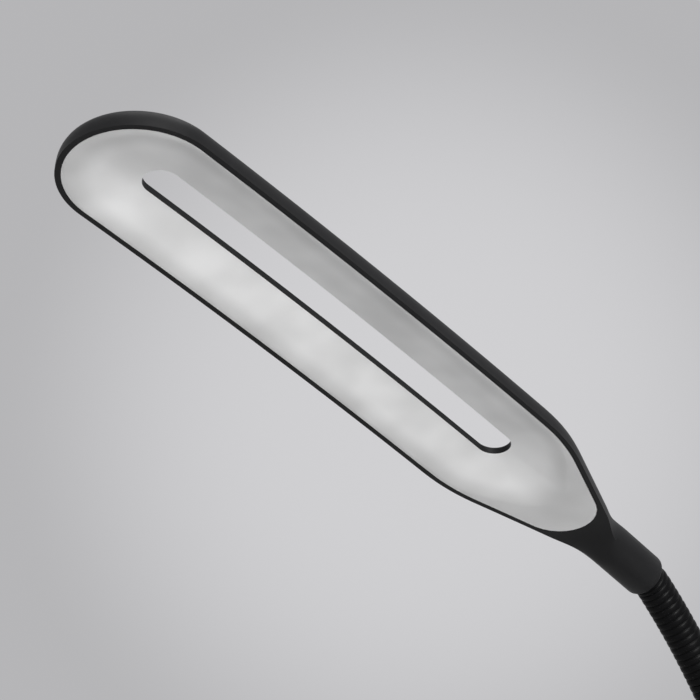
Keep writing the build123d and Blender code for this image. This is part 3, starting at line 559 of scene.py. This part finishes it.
@dataclass
class Gooseneck:
    """The ribbed skin of the gooseneck, in spans that each cover one ball joint."""

    socket: Vector = field(default_factory=lambda: Vector((0.030, 0.0, 0.0357)))
    root_length: float = 0.014
    segment_length: float = 0.0574
    segments: int = 5
    tip_length: float = 0.008
    bend_radius: float = 0.156
    bend_angle: float = radians(57.0)
    kink_radius: float = 0.014
    head_slope: float = HEAD_DROOP + COLLAR_START / HEAD_ARCH_RADIUS
    crest_radius: float = 0.006
    root_radius: float = 0.0055
    rib_count: int = 126
    tuck: float = 0.004
    bend_reach: float = 0.014
    steps_round: int = 48
    rib_profile: tuple[tuple[float, float], ...] = (
        (0.0, 0.0),
        (0.05, 0.42),
        (0.13, 0.76),
        (0.27, 0.95),
        (0.5, 1.0),
        (0.73, 0.95),
        (0.87, 0.76),
        (0.95, 0.42),
    )

    def __post_init__(self) -> None:
        """Works out the lengths along the centreline."""
        joints_length = self.segments * self.segment_length
        self.bend_end = self.root_length + joints_length + self.tip_length
        bend_length = self.bend_radius * self.bend_angle
        kink_length = self.kink_radius * (pi / 2 - self.bend_angle - self.head_slope)
        self.mouth = self.bend_end + kink_length
        self.curves = (
            (self.bend_end - bend_length, None),
            (bend_length, self.bend_radius),
            (kink_length, self.kink_radius),
        )
        self.pitch = self.mouth / self.rib_count

    def joint(self, number: int) -> float:
        """The distance of a ball joint along the centreline."""
        return self.root_length + number * self.segment_length

    def plane(self, distance: float) -> Matrix:
        """Works out the plane square to the centreline.

        Args:
            distance: how far it lies from the socket's mouth, along the centreline.

        Returns:
            A matrix with its third axis along the centreline and its first along +Y.
        """
        place = self.socket.copy()
        lean = 0.0
        rest = distance
        for length, radius in self.curves:
            step = min(rest, length)
            if radius is None:
                place.z += step
            else:
                turned = lean + step / radius
                place.x -= radius * (cos(lean) - cos(turned))
                place.z += radius * (sin(turned) - sin(lean))
                lean = turned
            rest -= step
        along = Vector((-sin(lean), 0.0, cos(lean)))
        place += along * rest
        side = Vector((0.0, 1.0, 0.0))
        turn = Matrix((side, along.cross(side), along)).transposed()
        return Matrix.Translation(place) @ turn.to_4x4()

    def profile(self, first_rib: int, last_rib: int) -> list[tuple[float, float]]:
        """Lists the radii of a run of ribs.

        Args:
            first_rib: the number of the run's first rib.
            last_rib: the number of the first rib after the run.

        Returns:
            Pairs of a radius and a distance along the centreline.
        """
        rise = self.crest_radius - self.root_radius
        points = [
            (self.root_radius + rise * height, (rib + share) * self.pitch)
            for rib in range(first_rib, last_rib)
            for share, height in self.rib_profile
        ]
        return points + [(self.root_radius, last_rib * self.pitch)]

    def span(self, number: int, first_rib: int, last_rib: int) -> bpy.types.Object:
        """Builds the ribbed span that covers one joint.

        Args:
            number: the joint's number.
            first_rib: the number of the span's first rib.
            last_rib: the number of the next span's first rib.

        Returns:
            The span, straight ribs bent along the centreline.
        """
        points = self.profile(first_rib, last_rib)
        if first_rib == 0:
            points.insert(0, (self.root_radius, -self.tuck))
        if last_rib == self.rib_count:
            points.append((self.root_radius, self.mouth + self.tuck))
        points.insert(0, (0.0, points[0][1]))
        points.append((0.0, points[-1][1]))
        shape = bmesh.new()
        chain = [shape.verts.new((radius, 0.0, distance)) for radius, distance in points]
        edges = [shape.edges.new(pair) for pair in zip(chain, chain[1:])]
        bmesh.ops.spin(
            shape,
            geom=chain + edges,
            cent=(0.0, 0.0, 0.0),
            axis=(0.0, 0.0, 1.0),
            angle=2 * pi,
            steps=self.steps_round,
            use_merge=True,
        )
        bmesh.ops.remove_doubles(shape, verts=shape.verts, dist=MERGE_DISTANCE)
        bmesh.ops.recalc_face_normals(shape, faces=shape.faces)
        for vert in shape.verts:
            vert.co = self.plane(vert.co.z) @ Vector((vert.co.x, vert.co.y, 0.0))
        return link_mesh(f"gooseneck_skin_{number + 1}", shape)

    def build(self, model: LampModel) -> None:
        """Builds every span, gives it its finish and hides the gooseneck's CAD nodes.

        Args:
            model: the CAD model, which is not used.
        """
        numbers = range(1, self.segments + 1)
        nodes = [*(f"gooseneck_{number}" for number in numbers), "gooseneck_tip"]
        first_rib = 0
        for number in range(self.segments + 1):
            middle = self.joint(number) + self.segment_length / 2
            last_rib = self.rib_count
            if number < self.segments:
                last_rib = round(middle / self.pitch)
            piece = self.span(number, first_rib, last_rib)
            piece.data.materials.append(NECK_BLACK.material())
            start = self.plane(self.joint(number) - self.bend_reach).translation
            end = self.plane(self.joint(number) + self.bend_reach / 2).translation
            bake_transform(piece)
            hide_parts(nodes[number])
            LOG.info("%s: %d faces", piece.name, len(piece.data.polygons))
            first_rib = last_rib
        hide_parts("gooseneck_root")


@dataclass
class HeadForm:
    """The outline and the arch of the head, which its shell and its light face share."""

    neck: Gooseneck
    tip_radius: float = 0.0215
    side_length: float = 0.1532
    side_flare: float = radians(0.25)
    shoulder_radius: float = 0.0667
    shoulder_taper: float = radians(18.2)
    end_radius: float = 0.0125
    arch_radius: float = HEAD_ARCH_RADIUS
    droop: float = HEAD_DROOP
    collar_start: float = COLLAR_START
    collar_length: float = 0.024
    collar_height: float = 0.0033
    halvings: int = 40

    def __post_init__(self) -> None:
        """Places the outline's arcs and the head's tip."""
        flare = self.normal(-self.side_flare)
        side = self.normal(pi / 2 - self.side_flare) * self.side_length
        self.shoulder_centre = side + flare * (self.tip_radius - self.shoulder_radius)
        taper = self.normal(self.shoulder_taper)
        self.taper_reach = self.shoulder_centre.dot(taper) + self.shoulder_radius
        self.end_place = (self.taper_reach - self.end_radius) / taper.x
        run = self.collar_start + self.collar_length
        self.tip = Vector((0.0, 0.0, 0.0))
        mouth = self.neck.plane(self.neck.mouth).translation
        self.tip = mouth - self.collar_point(run, 0.0, self.collar_height)

    @staticmethod
    def normal(angle: float) -> Vector:
        """The outline's unit vector that leans by an angle from +Y towards the collar."""
        return Vector((sin(angle), cos(angle)))

    @staticmethod
    def slope(angle: float) -> tuple[Vector, Vector]:
        """The directions along and across a line that falls by an angle to the collar."""
        return Vector((cos(angle), 0.0, -sin(angle))), Vector((sin(angle), 0.0, cos(angle)))

    def half_width(self, along: float, inset: float, rounded: bool) -> float:
        """Works out half the outline's width.

        Args:
            along: the distance from the centre of the tip.
            inset: how far the outline is drawn in.
            rounded: whether it closes in a round end, or runs on into the collar.

        Returns:
            Half the width, which is zero past a round end.
        """
        bend = self.shoulder_radius - inset
        if along < self.shoulder_centre.x - bend * sin(self.side_flare):
            flared = self.tip_radius - inset + along * sin(self.side_flare)
            return flared / cos(self.side_flare)
        if along < self.shoulder_centre.x + bend * sin(self.shoulder_taper):
            past = along - self.shoulder_centre.x
            return self.shoulder_centre.y + sqrt(bend**2 - past**2)
        turn = self.end_radius - inset
        if rounded and along > self.end_place + turn * sin(self.shoulder_taper):
            return sqrt(max(0.0, turn**2 - (along - self.end_place) ** 2))
        taper = self.taper_reach - inset - along * sin(self.shoulder_taper)
        return taper / cos(self.shoulder_taper)

    def reach(self, start: float, angle: float) -> float:
        """Works out how far the light face's outline is from a point of the middle line.

        Args:
            start: the point's distance from the centre of the tip.
            angle: the direction, from the middle line towards +Y.

        Returns:
            The distance in that direction.
        """
        low, high = 0.0, 2.0 * self.shoulder_radius
        for _ in range(self.halvings):
            middle = (low + high) / 2
            along = start + middle * cos(angle)
            across = middle * sin(angle)
            if along < 0.0:
                inside = along**2 + across**2 < self.tip_radius**2
            else:
                edge = self.half_width(along, 0.0, True)
                inside = along < self.end_place + self.end_radius and across < edge
            low, high = (middle, high) if inside else (low, middle)
        return low

    def arched_point(self, along: float, across: float, height: float) -> Vector:
        """Places a point of the arched plate.

        Args:
            along: how far it is from the tip's centre, seen along the face's normal.
            across: its distance from the middle.
            height: its height above the light face.

        Returns:
            The point in the shared frame.
        """
        forward, up = self.slope(self.droop)
        rise = sqrt((self.arch_radius + height) ** 2 - along**2) - self.arch_radius
        return self.tip + forward * along + up * rise + Vector((0.0, across, 0.0))

    def height_of(self, point: Vector) -> float:
        """Works out how high a point of the plate lies above the light face's outline.

        Args:
            point: the point in the shared frame.

        Returns:
            The height.
        """
        forward, up = self.slope(self.droop)
        along = (point - self.tip).dot(forward)
        rise = sqrt(self.arch_radius**2 - along**2) - self.arch_radius
        return (point - self.tip).dot(up) - rise

    def collar_point(self, distance: float, across: float, height: float) -> Vector:
        """Places a point of the collar.

        Args:
            distance: how far it is from the tip's centre, along the arch and then straight on.
            across: its distance from the middle.
            height: its height above the light face's line.

        Returns:
            The point in the shared frame.
        """
        forward, up = self.slope(self.droop)
        turn = min(distance, self.collar_start) / self.arch_radius
        straight, square = self.slope(self.droop + turn)
        sag = self.arch_radius * (1.0 - cos(turn))
        arch = forward * (self.arch_radius * sin(turn)) - up * sag
        run = straight * max(distance - self.collar_start, 0.0)
        return self.tip + arch + run + square * height + Vector((0.0, across, 0.0))


@dataclass
class HeadShell:
    """The shell, whose flat plate flows into the round collar without a crease.

    Each arc of the ring has a kind, a number of steps, and the angles between which it turns
    where the shell has become the collar. Each run of stations has a start, a gap and a count.
    """

    form: HeadForm
    rim: float = 0.00175
    thickness: float = 0.0067
    rounding: float = 0.0028
    rounding_height: float = 0.0048
    recess_gap: float = 0.0001
    recess_depth: float = 0.0012
    cavity_inset: float = 0.0019
    cover_seat: float = 0.0052
    blend_start: float = 0.2034
    blend_end: float = 0.2225
    blend_fade: float = 0.006
    blend_softness: float = 0.0013
    collar_radius: float = 0.00735
    mouth_rounding: float = 0.0012
    mouth_steps: int = 5
    bore_radius: float = 0.0058
    bore_depth: float = 0.013
    bore_floor_ring: float = 0.002
    tip_steps: int = 26
    end_steps: int = 15
    arcs: tuple[tuple[str, int, float, float], ...] = (
        ("bottom", 5, -90.0, -38.0),
        ("side", 3, -38.0, 8.0),
        ("rounding", 6, 8.0, 52.0),
        ("top", 4, 52.0, 90.0),
    )
    station_runs: tuple[tuple[float, float, int], ...] = (
        (0.012, 0.012, 12),
        (0.150, 0.003, 16),
        (0.2056, 0.0009, 20),
    )
    collar_stations: tuple[float, ...] = (0.228, 0.234)
    place_digits: int = 7

    def __post_init__(self) -> None:
        """Lists the ring's points, and the stations from the tip to the bottom of the bore."""
        kind, _, low, _ = self.arcs[0]
        self.ring: list[tuple[str, float, float]] = [(kind, 0.0, radians(low))]
        for kind, steps, low, high in self.arcs:
            self.ring += [
                (kind, step / steps, radians(low + (high - low) * step / steps))
                for step in range(1, steps + 1)
            ]
        cover = self.rounding - self.rim
        self.inner = [
            (cover, self.cover_seat),
            (self.cavity_inset, self.cover_seat),
            (self.cavity_inset, self.recess_depth),
            (-self.recess_gap, self.recess_depth),
        ]
        places = self.end_stations(-self.recess_gap) + self.end_stations(cover)
        for first, gap, count in self.station_runs:
            places += [first + gap * step for step in range(count)]
        self.places = sorted({round(place, self.place_digits) for place in places})
        self.places += self.collar_stations
        run = self.form.collar_start + self.form.collar_length
        floor = run - self.bore_depth
        self.collar = [self.mouth_ring(run, step) for step in range(self.mouth_steps + 1)]
        self.collar += [(run, self.bore_radius), (floor, self.bore_radius)]
        self.collar += [(floor, self.bore_floor_ring), (floor, 0.0)]

    def end_stations(self, inset: float) -> list[float]:
        """Lists stations at even turns of the outline's round end.

        Args:
            inset: how far the outline is drawn in.

        Returns:
            Their distances from the centre of the tip.
        """
        form = self.form
        turn = form.end_radius - inset
        first = form.shoulder_taper
        return [
            form.end_place + turn * sin(first + (pi / 2 - first) * step / self.end_steps)
            for step in range(self.end_steps + 1)
        ]

    def mouth_ring(self, run: float, step: int) -> tuple[float, float]:
        """Works out a ring of the rounding at the collar's mouth.

        Args:
            run: the distance of the mouth from the centre of the tip.
            step: the ring's number.

        Returns:
            The ring's distance and its radius.
        """
        angle = pi / 2 * step / self.mouth_steps
        return (
            run - self.mouth_rounding * (1 - sin(angle)),
            self.collar_radius - self.mouth_rounding * (1 - cos(angle)),
        )

    def flat_point(self, column: int, along: float) -> tuple[float, float]:
        """Works out a ring point of the flat plate at a distance from the tip's centre.

        Args:
            column: the point's number on the ring.
            along: the distance.

        Returns:
            The point's distance from the middle and its height.
        """
        form = self.form
        kind, share, _ = self.ring[column]
        taper = form.half_width(along, -self.rim, False)
        wide = taper
        if along > self.blend_start:
            gap = taper - self.collar_radius
            wide = (taper + self.collar_radius + sqrt(gap**2 + self.blend_softness**2)) / 2
            fade = min((along - self.blend_start) / self.blend_fade, 1.0)
            wide = taper + (wide - taper) * fade
        if kind == "bottom":
            edge = form.half_width(along, -self.recess_gap, True)
            return edge + (wide - edge) * share, 0.0
        if kind == "side":
            return wide, (self.thickness - self.rounding_height) * share
        angle = pi / 2 * (share if kind == "rounding" else 1.0)
        inset = self.rounding * (1 - cos(angle)) - self.rim
        across = form.half_width(along, inset, False) + wide - taper
        height = self.thickness - self.rounding_height * (1 - sin(angle))
        if kind == "rounding":
            return across, height
        edge = form.half_width(along, self.rounding - self.rim, True)
        return across + (edge - across) * share, height

    def tip_point(self, column: int) -> tuple[float, float]:
        """How far a ring point of the round tip is from the tip's centre, and its height."""
        across, height = self.flat_point(column, 0.0)
        return across * cos(self.form.side_flare), height

    def point(self, column: int, row: int) -> Vector:
        """Places a point of the shell's grid.

        Args:
            column: the point's number on the ring.
            row: the number of the station.

        Returns:
            The point in the shared frame.
        """
        form = self.form
        column %= len(self.ring) + len(self.inner)
        outer = column < len(self.ring)
        if row <= self.tip_steps:
            angle = pi - pi / 2 * row / self.tip_steps
            if outer:
                across, height = self.tip_point(column)
            else:
                inset, height = self.inner[column - len(self.ring)]
                across = form.tip_radius - inset
            return form.arched_point(across * cos(angle), across * sin(angle), height)
        row -= self.tip_steps + 1
        if row < len(self.places):
            place, radius = self.places[row], self.collar_radius
        else:
            place, radius = self.collar[row - len(self.places)]
        if not outer:
            inset, height = self.inner[column - len(self.ring)]
            across = form.half_width(place, inset, True) if place < self.blend_end else 0.0
            if across:
                return form.arched_point(place, across, height)
            return form.collar_point(place, 0.0, height)
        turn = self.ring[column][2]
        middle = form.collar_height
        round_point = form.collar_point(place, radius * cos(turn), middle + radius * sin(turn))
        share = (place - self.blend_start) / (self.blend_end - self.blend_start)
        if row >= len(self.places) or share >= 1.0:
            return round_point
        flat = form.arched_point(place, *self.flat_point(column, place))
        return flat.lerp(round_point, ease(max(0.0, share)))

    def build(self) -> bpy.types.Object:
        """Builds the shell.

        Returns:
            The shell, its edges rounded.
        """
        columns = len(self.ring) + len(self.inner)
        rows = self.tip_steps + len(self.places) + len(self.collar)
        piece = folded_grid("head_shell", columns, rows, self.point)
        round_edges(piece, EdgeRound.MOULDED, segments=3, limit=SHELL_CORNER)
        return finish_piece(piece, HEAD_BLACK, "head", ("head_housing",))


@dataclass
class LightFace:
    """The opal face, which rises into a shallow funnel round the slot."""

    form: HeadForm
    slot_start: float = 0.0072
    slot_end: float = 0.1574
    slot_half_width: float = 0.00545
    funnel_width: float = 0.016
    funnel_depth: float = 0.00445
    lip: float = 0.0014
    edge: float = 0.0012
    dip: float = 0.00055
    wall: float = 0.0005
    board_height: float = 0.0041
    tip_run_out: float = 0.75
    root_run_out: float = 0.4
    easing: float = 0.03
    swell: float = 0.2
    back_share: float = 0.92
    steps_round: int = 32
    steps_along: int = 16
    steps_seen: int = 20
    steps_back: int = 12

    def climb(self, share: float) -> float:
        """Works out how much of the funnel's depth is reached.

        Args:
            share: how far across the funnel, from 0 at its outer edge to 1 at the slot.

        Returns:
            The share of the depth, which starts level and then climbs almost evenly.
        """
        eased = share - self.easing * (1.0 - exp(-share / self.easing))
        straight = eased / (1.0 - self.easing * (1.0 - exp(-1.0 / self.easing)))
        return straight * (1.0 - self.swell) + ease(share) * self.swell

    def profile(self, reach: float, run_out: float) -> list[tuple[float, float]]:
        """Lists the closed profile of the face, from its outline to the slot and back.

        Args:
            reach: how far the face's outline is from the slot's middle line.
            run_out: the share of a wide margin that the funnel runs out over.

        Returns:
            Pairs of a distance from the line and a height.
        """
        spread = self.slot_half_width + self.funnel_width
        outer = spread + max(reach - spread, 0.0) * run_out
        width = outer - self.slot_half_width
        points = [(reach, 0.0), ((reach + outer) / 2, 0.0)]
        for step in range(self.steps_seen + 1):
            share = step / self.steps_seen
            points.append((outer - width * share, self.funnel_depth * self.climb(share)))
        rise = self.funnel_depth - self.edge + self.dip
        for step in range(self.steps_back + 1):
            drawn = 1.0 - self.back_share * step / self.steps_back
            across = outer - (width - self.lip) * drawn
            seen = self.funnel_depth * self.climb((outer - across) / width)
            share = max(spread - across, 0.0) / (self.funnel_width - self.lip)
            ridge = self.funnel_depth - rise * (1.0 - self.climb(share))
            cover = min(seen + self.wall, self.board_height)
            points.append((across, max(ridge, cover, self.edge)))
        return points + [(reach, self.edge)]

    def point(self, column: int, row: int) -> Vector:
        """Places a point of the face's grid.

        Args:
            column: the point's number on the profile.
            row: the number of the station round the slot.

        Returns:
            The point in the shared frame.
        """
        past_tip = min(max((row - self.steps_round) / self.steps_along, 0.0), 1.0)
        start = self.slot_start + (self.slot_end - self.slot_start) * past_tip
        if past_tip < 1.0:
            angle = pi - pi / 2 * min(row / self.steps_round, 1.0)
        else:
            share = (row - self.steps_round - self.steps_along) / self.steps_round
            angle = pi / 2 * (1 - share)
        run_out = self.tip_run_out + (self.root_run_out - self.tip_run_out) * past_tip
        points = self.profile(self.form.reach(start, angle), run_out)
        distance, height = points[column % len(points)]
        return self.form.arched_point(
            start + distance * cos(angle), distance * sin(angle), height
        )

    def build(self) -> bpy.types.Object:
        """Builds the face.

        Returns:
            The light face.
        """
        columns = len(self.profile(self.funnel_width * 2, self.tip_run_out))
        rows = 2 * self.steps_round + self.steps_along
        piece = folded_grid("light_face", columns, rows, self.point)
        # The funnel's height at each point, which the painted shade at the margin follows
        heights = piece.data.attributes.new(HEIGHT_ATTRIBUTE, "FLOAT", "POINT")
        for vert in piece.data.vertices:
            heights.data[vert.index].value = self.form.height_of(vert.co) / self.funnel_depth
        return finish_piece(piece, OPAL, "head", ("diffuser",))


@dataclass
class Head:
    """The lamp head: its shell, the cover let into its top, the light face and its circuit.

    The foot of the slot's wall is found by its height, give or take a short reach.
    """

    form: HeadForm
    wall_foot: float = 0.00485
    foot_reach: float = 0.0002

    def seat_wall(self, cover: bpy.types.Object, lip_height: float) -> None:
        """Draws the foot of the slot's wall down to the light face's lip.

        Args:
            cover: the copy of the cover, which carries the wall.
            lip_height: the height of the lip above the face's outline.
        """
        _, up = self.form.slope(self.form.droop)
        drop = up * (self.wall_foot - lip_height)
        for vert in cover.data.vertices:
            if abs(self.form.height_of(vert.co) - self.wall_foot) < self.foot_reach:
                vert.co -= drop

    def build(self, model: LampModel) -> None:
        """Builds the shell and the light face, and dresses the pieces inside.

        Args:
            model: the CAD model.
        """
        HeadShell(self.form).build()
        face = LightFace(self.form)
        face.build()
        cover = model.dress("head_cover", HEAD_BLACK, EdgeRound.FINE)
        self.seat_wall(cover, face.funnel_depth)
        model.paint("led_board", BOARD)
        model.paint("leds", PHOSPHOR)
        model.paint("head_leads", SHEATH)
        model.paint("neck_ferrule", STEEL)


@dataclass
class Base:
    """The housing over the clip, with its button, its inlet and the gooseneck's socket."""

    housing_edge: EdgeRound = EdgeRound.FINE

    def build(self, model: LampModel) -> None:
        """Dresses the base's pieces.

        Args:
            model: the CAD model.
        """
        model.dress("base_housing", BASE_BLACK, self.housing_edge)
        model.dress("base_cover", BASE_BLACK, self.housing_edge)
        model.dress("base_ferrule", FERRULE_BLACK, EdgeRound.FINE)
        model.dress("push_button", BUTTON, EdgeRound.FINE)
        model.dress("power_inlet", STEEL, EdgeRound.NONE)
        model.dress("base_screws", STEEL, EdgeRound.FINE)
        model.paint("ferrule_nut", STEEL)
        model.paint("driver_board", BOARD)
        model.paint("board_components", CHIPS)
        model.paint("button_switch", SWITCH)
        model.paint("switch_plunger", SWITCH)
        model.paint("base_leads", SHEATH)


@dataclass
class Clip:
    """The sprung jaw with its pads, pin and spring."""

    lever_edge: EdgeRound = EdgeRound.MOULDED

    def build(self, model: LampModel) -> None:
        """Dresses the clip's pieces.

        Args:
            model: the CAD model.
        """
        model.dress("jaw_lever", BASE_BLACK, self.lever_edge)
        model.dress("upper_pad", PAD_BLACK, EdgeRound.MOULDED)
        model.dress("lower_pad", PAD_BLACK, EdgeRound.MOULDED)
        model.dress("hinge_pin", STEEL, EdgeRound.FINE)
        model.dress("pin_ring", STEEL, EdgeRound.FINE)
        model.dress("clip_spring", SPRING, EdgeRound.NONE)


@dataclass(frozen=True)
class Softbox:
    """A square light that the camera doesn't see, aimed at the middle of the lamp."""

    name: str
    place: tuple[float, float, float]
    size: float
    power: float
    aim: tuple[float, float, float] = (-0.15, 0.0, 0.25)

    def build(self) -> None:
        """Adds the light to the scene."""
        lamp = bpy.data.lights.new(self.name, "AREA")
        lamp.size = self.size
        lamp.energy = self.power
        light = bpy.data.objects.new(self.name, lamp)
        light.location = self.place
        way = Vector(self.aim) - Vector(self.place)
        light.rotation_euler = way.to_track_quat("-Z", "Y").to_euler()
        light.visible_camera = False
        bpy.context.scene.collection.objects.link(light)


@dataclass
class Studio:
    """Pale floor, soft lights, a plain backdrop and the camera of the photograph."""

    floor_height: float = -0.031
    floor_size: float = 8.0
    floor_dark: tuple[float, float, float] = (0.66, 0.66, 0.665)
    floor_light: tuple[float, float, float] = (0.7, 0.7, 0.705)
    floor_blots: float = 0.6
    floor_detail: float = 2.0
    floor_roughness: float = 0.9
    camera_place: tuple[float, float, float] = (-0.615284, -0.340371, -0.004667)
    camera_azimuth: float = radians(39.369)
    camera_rise: float = radians(32.375)
    lens: float = 113.143
    sensor_width: float = 36.0
    clip_start: float = 0.01
    clip_end: float = 50.0
    glow_azimuth: float = radians(37.1)
    glow_rise: float = radians(30.85)
    glow_width: float = radians(11.25)
    backdrop_dark: float = 0.465
    backdrop_light: float = 0.63
    backdrop_tint: tuple[float, float, float, float] = (1.0, 0.997, 1.022, 1.0)
    ambient: float = 0.35
    ambient_tint: tuple[float, float, float, float] = (1.0, 1.0, 1.0, 1.0)
    softboxes: tuple[Softbox, ...] = (
        Softbox("low_light", (-0.69, -1.15, 0.06), size=0.3, power=14.0),
        Softbox("side_light", (-1.6, -2.2, 1.1), size=1.4, power=56.0),
        Softbox("top_light", (-0.4, -0.5, 2.8), size=2.0, power=20.0),
        Softbox("back_light", (1.6, 2.0, 1.8), size=1.4, power=6.0),
    )

    def build(self) -> None:
        """Builds the floor, the backdrop, the lights and the camera."""
        self.floor()
        self.backdrop()
        for softbox in self.softboxes:
            softbox.build()
        self.camera()
        bpy.context.scene.view_settings.view_transform = "Standard"

    def floor(self) -> None:
        """Lays the pale floor below the clip."""
        shape = bmesh.new()
        bmesh.ops.create_grid(shape, x_segments=1, y_segments=1, size=self.floor_size / 2)
        bmesh.ops.translate(shape, verts=shape.verts, vec=(0.0, 0.0, self.floor_height))
        floor = link_mesh("floor", shape)
        material = bpy.data.materials.new("floor_paper")
        material.use_nodes = True
        graph = NodeGraph(material.node_tree)
        output = graph.add("ShaderNodeOutputMaterial")
        shader = graph.add("ShaderNodeBsdfPrincipled", Roughness=self.floor_roughness)
        place = graph.add("ShaderNodeTexCoord").outputs["Object"]
        blots = graph.noise(place, self.floor_blots, self.floor_detail)
        tone = graph.tones(blots, self.floor_dark, self.floor_light)
        graph.join(tone, shader.inputs["Base Color"])
        graph.join(shader.outputs["BSDF"], output.inputs["Surface"])
        floor.data.materials.append(material)

    def glow(self, graph: NodeGraph) -> bpy.types.NodeSocket:
        """Works out the backdrop's brightness, which grows towards one direction.

        Args:
            graph: the world's graph.

        Returns:
            The socket with the brightness.
        """
        level = cos(self.glow_rise)
        toward = Vector(
            (
                level * cos(self.glow_azimuth),
                level * sin(self.glow_azimuth),
                sin(self.glow_rise),
            )
        )
        direction = graph.add("ShaderNodeTexCoord").outputs["Generated"]
        nearness = graph.add("ShaderNodeVectorMath")
        nearness.operation = "DOT_PRODUCT"
        graph.join(direction, nearness.inputs[0])
        nearness.inputs[1].default_value = toward
        return graph.span(
            nearness.outputs["Value"],
            (cos(self.glow_width), 1.0),
            (self.backdrop_dark, self.backdrop_light),
        )

    def backdrop(self) -> None:
        """Lights the object evenly and shows the camera and shiny pieces a grey backdrop."""
        world = bpy.data.worlds.new("studio")
        bpy.context.scene.world = world
        world.use_nodes = True
        graph = NodeGraph(world.node_tree)
        output = graph.add("ShaderNodeOutputWorld")
        rays = graph.add("ShaderNodeLightPath")
        seen = rays.outputs["Is Camera Ray"]
        for kind in ("Is Glossy Ray", "Is Transmission Ray"):
            either = graph.add("ShaderNodeMath")
            either.operation = "MAXIMUM"
            graph.join(seen, either.inputs[0])
            graph.join(rays.outputs[kind], either.inputs[1])
            seen = either.outputs["Value"]
        shown = graph.add("ShaderNodeBackground", Color=self.backdrop_tint)
        graph.join(self.glow(graph), shown.inputs["Strength"])
        light = graph.add(
            "ShaderNodeBackground", Color=self.ambient_tint, Strength=self.ambient
        )
        mixed = graph.add("ShaderNodeMixShader")
        graph.join(seen, mixed.inputs["Fac"])
        graph.join(light.outputs["Background"], mixed.inputs[1])
        graph.join(shown.outputs["Background"], mixed.inputs[2])
        graph.join(mixed.outputs["Shader"], output.inputs["Surface"])

    def camera(self) -> None:
        """Sets the camera where the photograph was taken from."""
        lens = bpy.data.cameras.new("camera")
        lens.lens = self.lens
        lens.sensor_width = self.sensor_width
        lens.clip_start = self.clip_start
        lens.clip_end = self.clip_end
        camera = bpy.data.objects.new("camera", lens)
        camera.location = self.camera_place
        azimuth = self.camera_azimuth - pi / 2
        camera.rotation_euler = Euler((pi / 2 + self.camera_rise, 0.0, azimuth))
        bpy.context.scene.collection.objects.link(camera)
        bpy.context.scene.camera = camera


def main() -> None:
    """Loads the frame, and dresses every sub-assembly."""
    logging.basicConfig(level=logging.INFO, format="%(name)s %(message)s")
    model = LampModel(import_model())
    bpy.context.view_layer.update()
    Studio().build()
    neck = Gooseneck()
    Head(HeadForm(neck)).build(model)
    neck.build(model)
    Base().build(model)
    Clip().build(model)


if __name__ == "__main__":
    main()
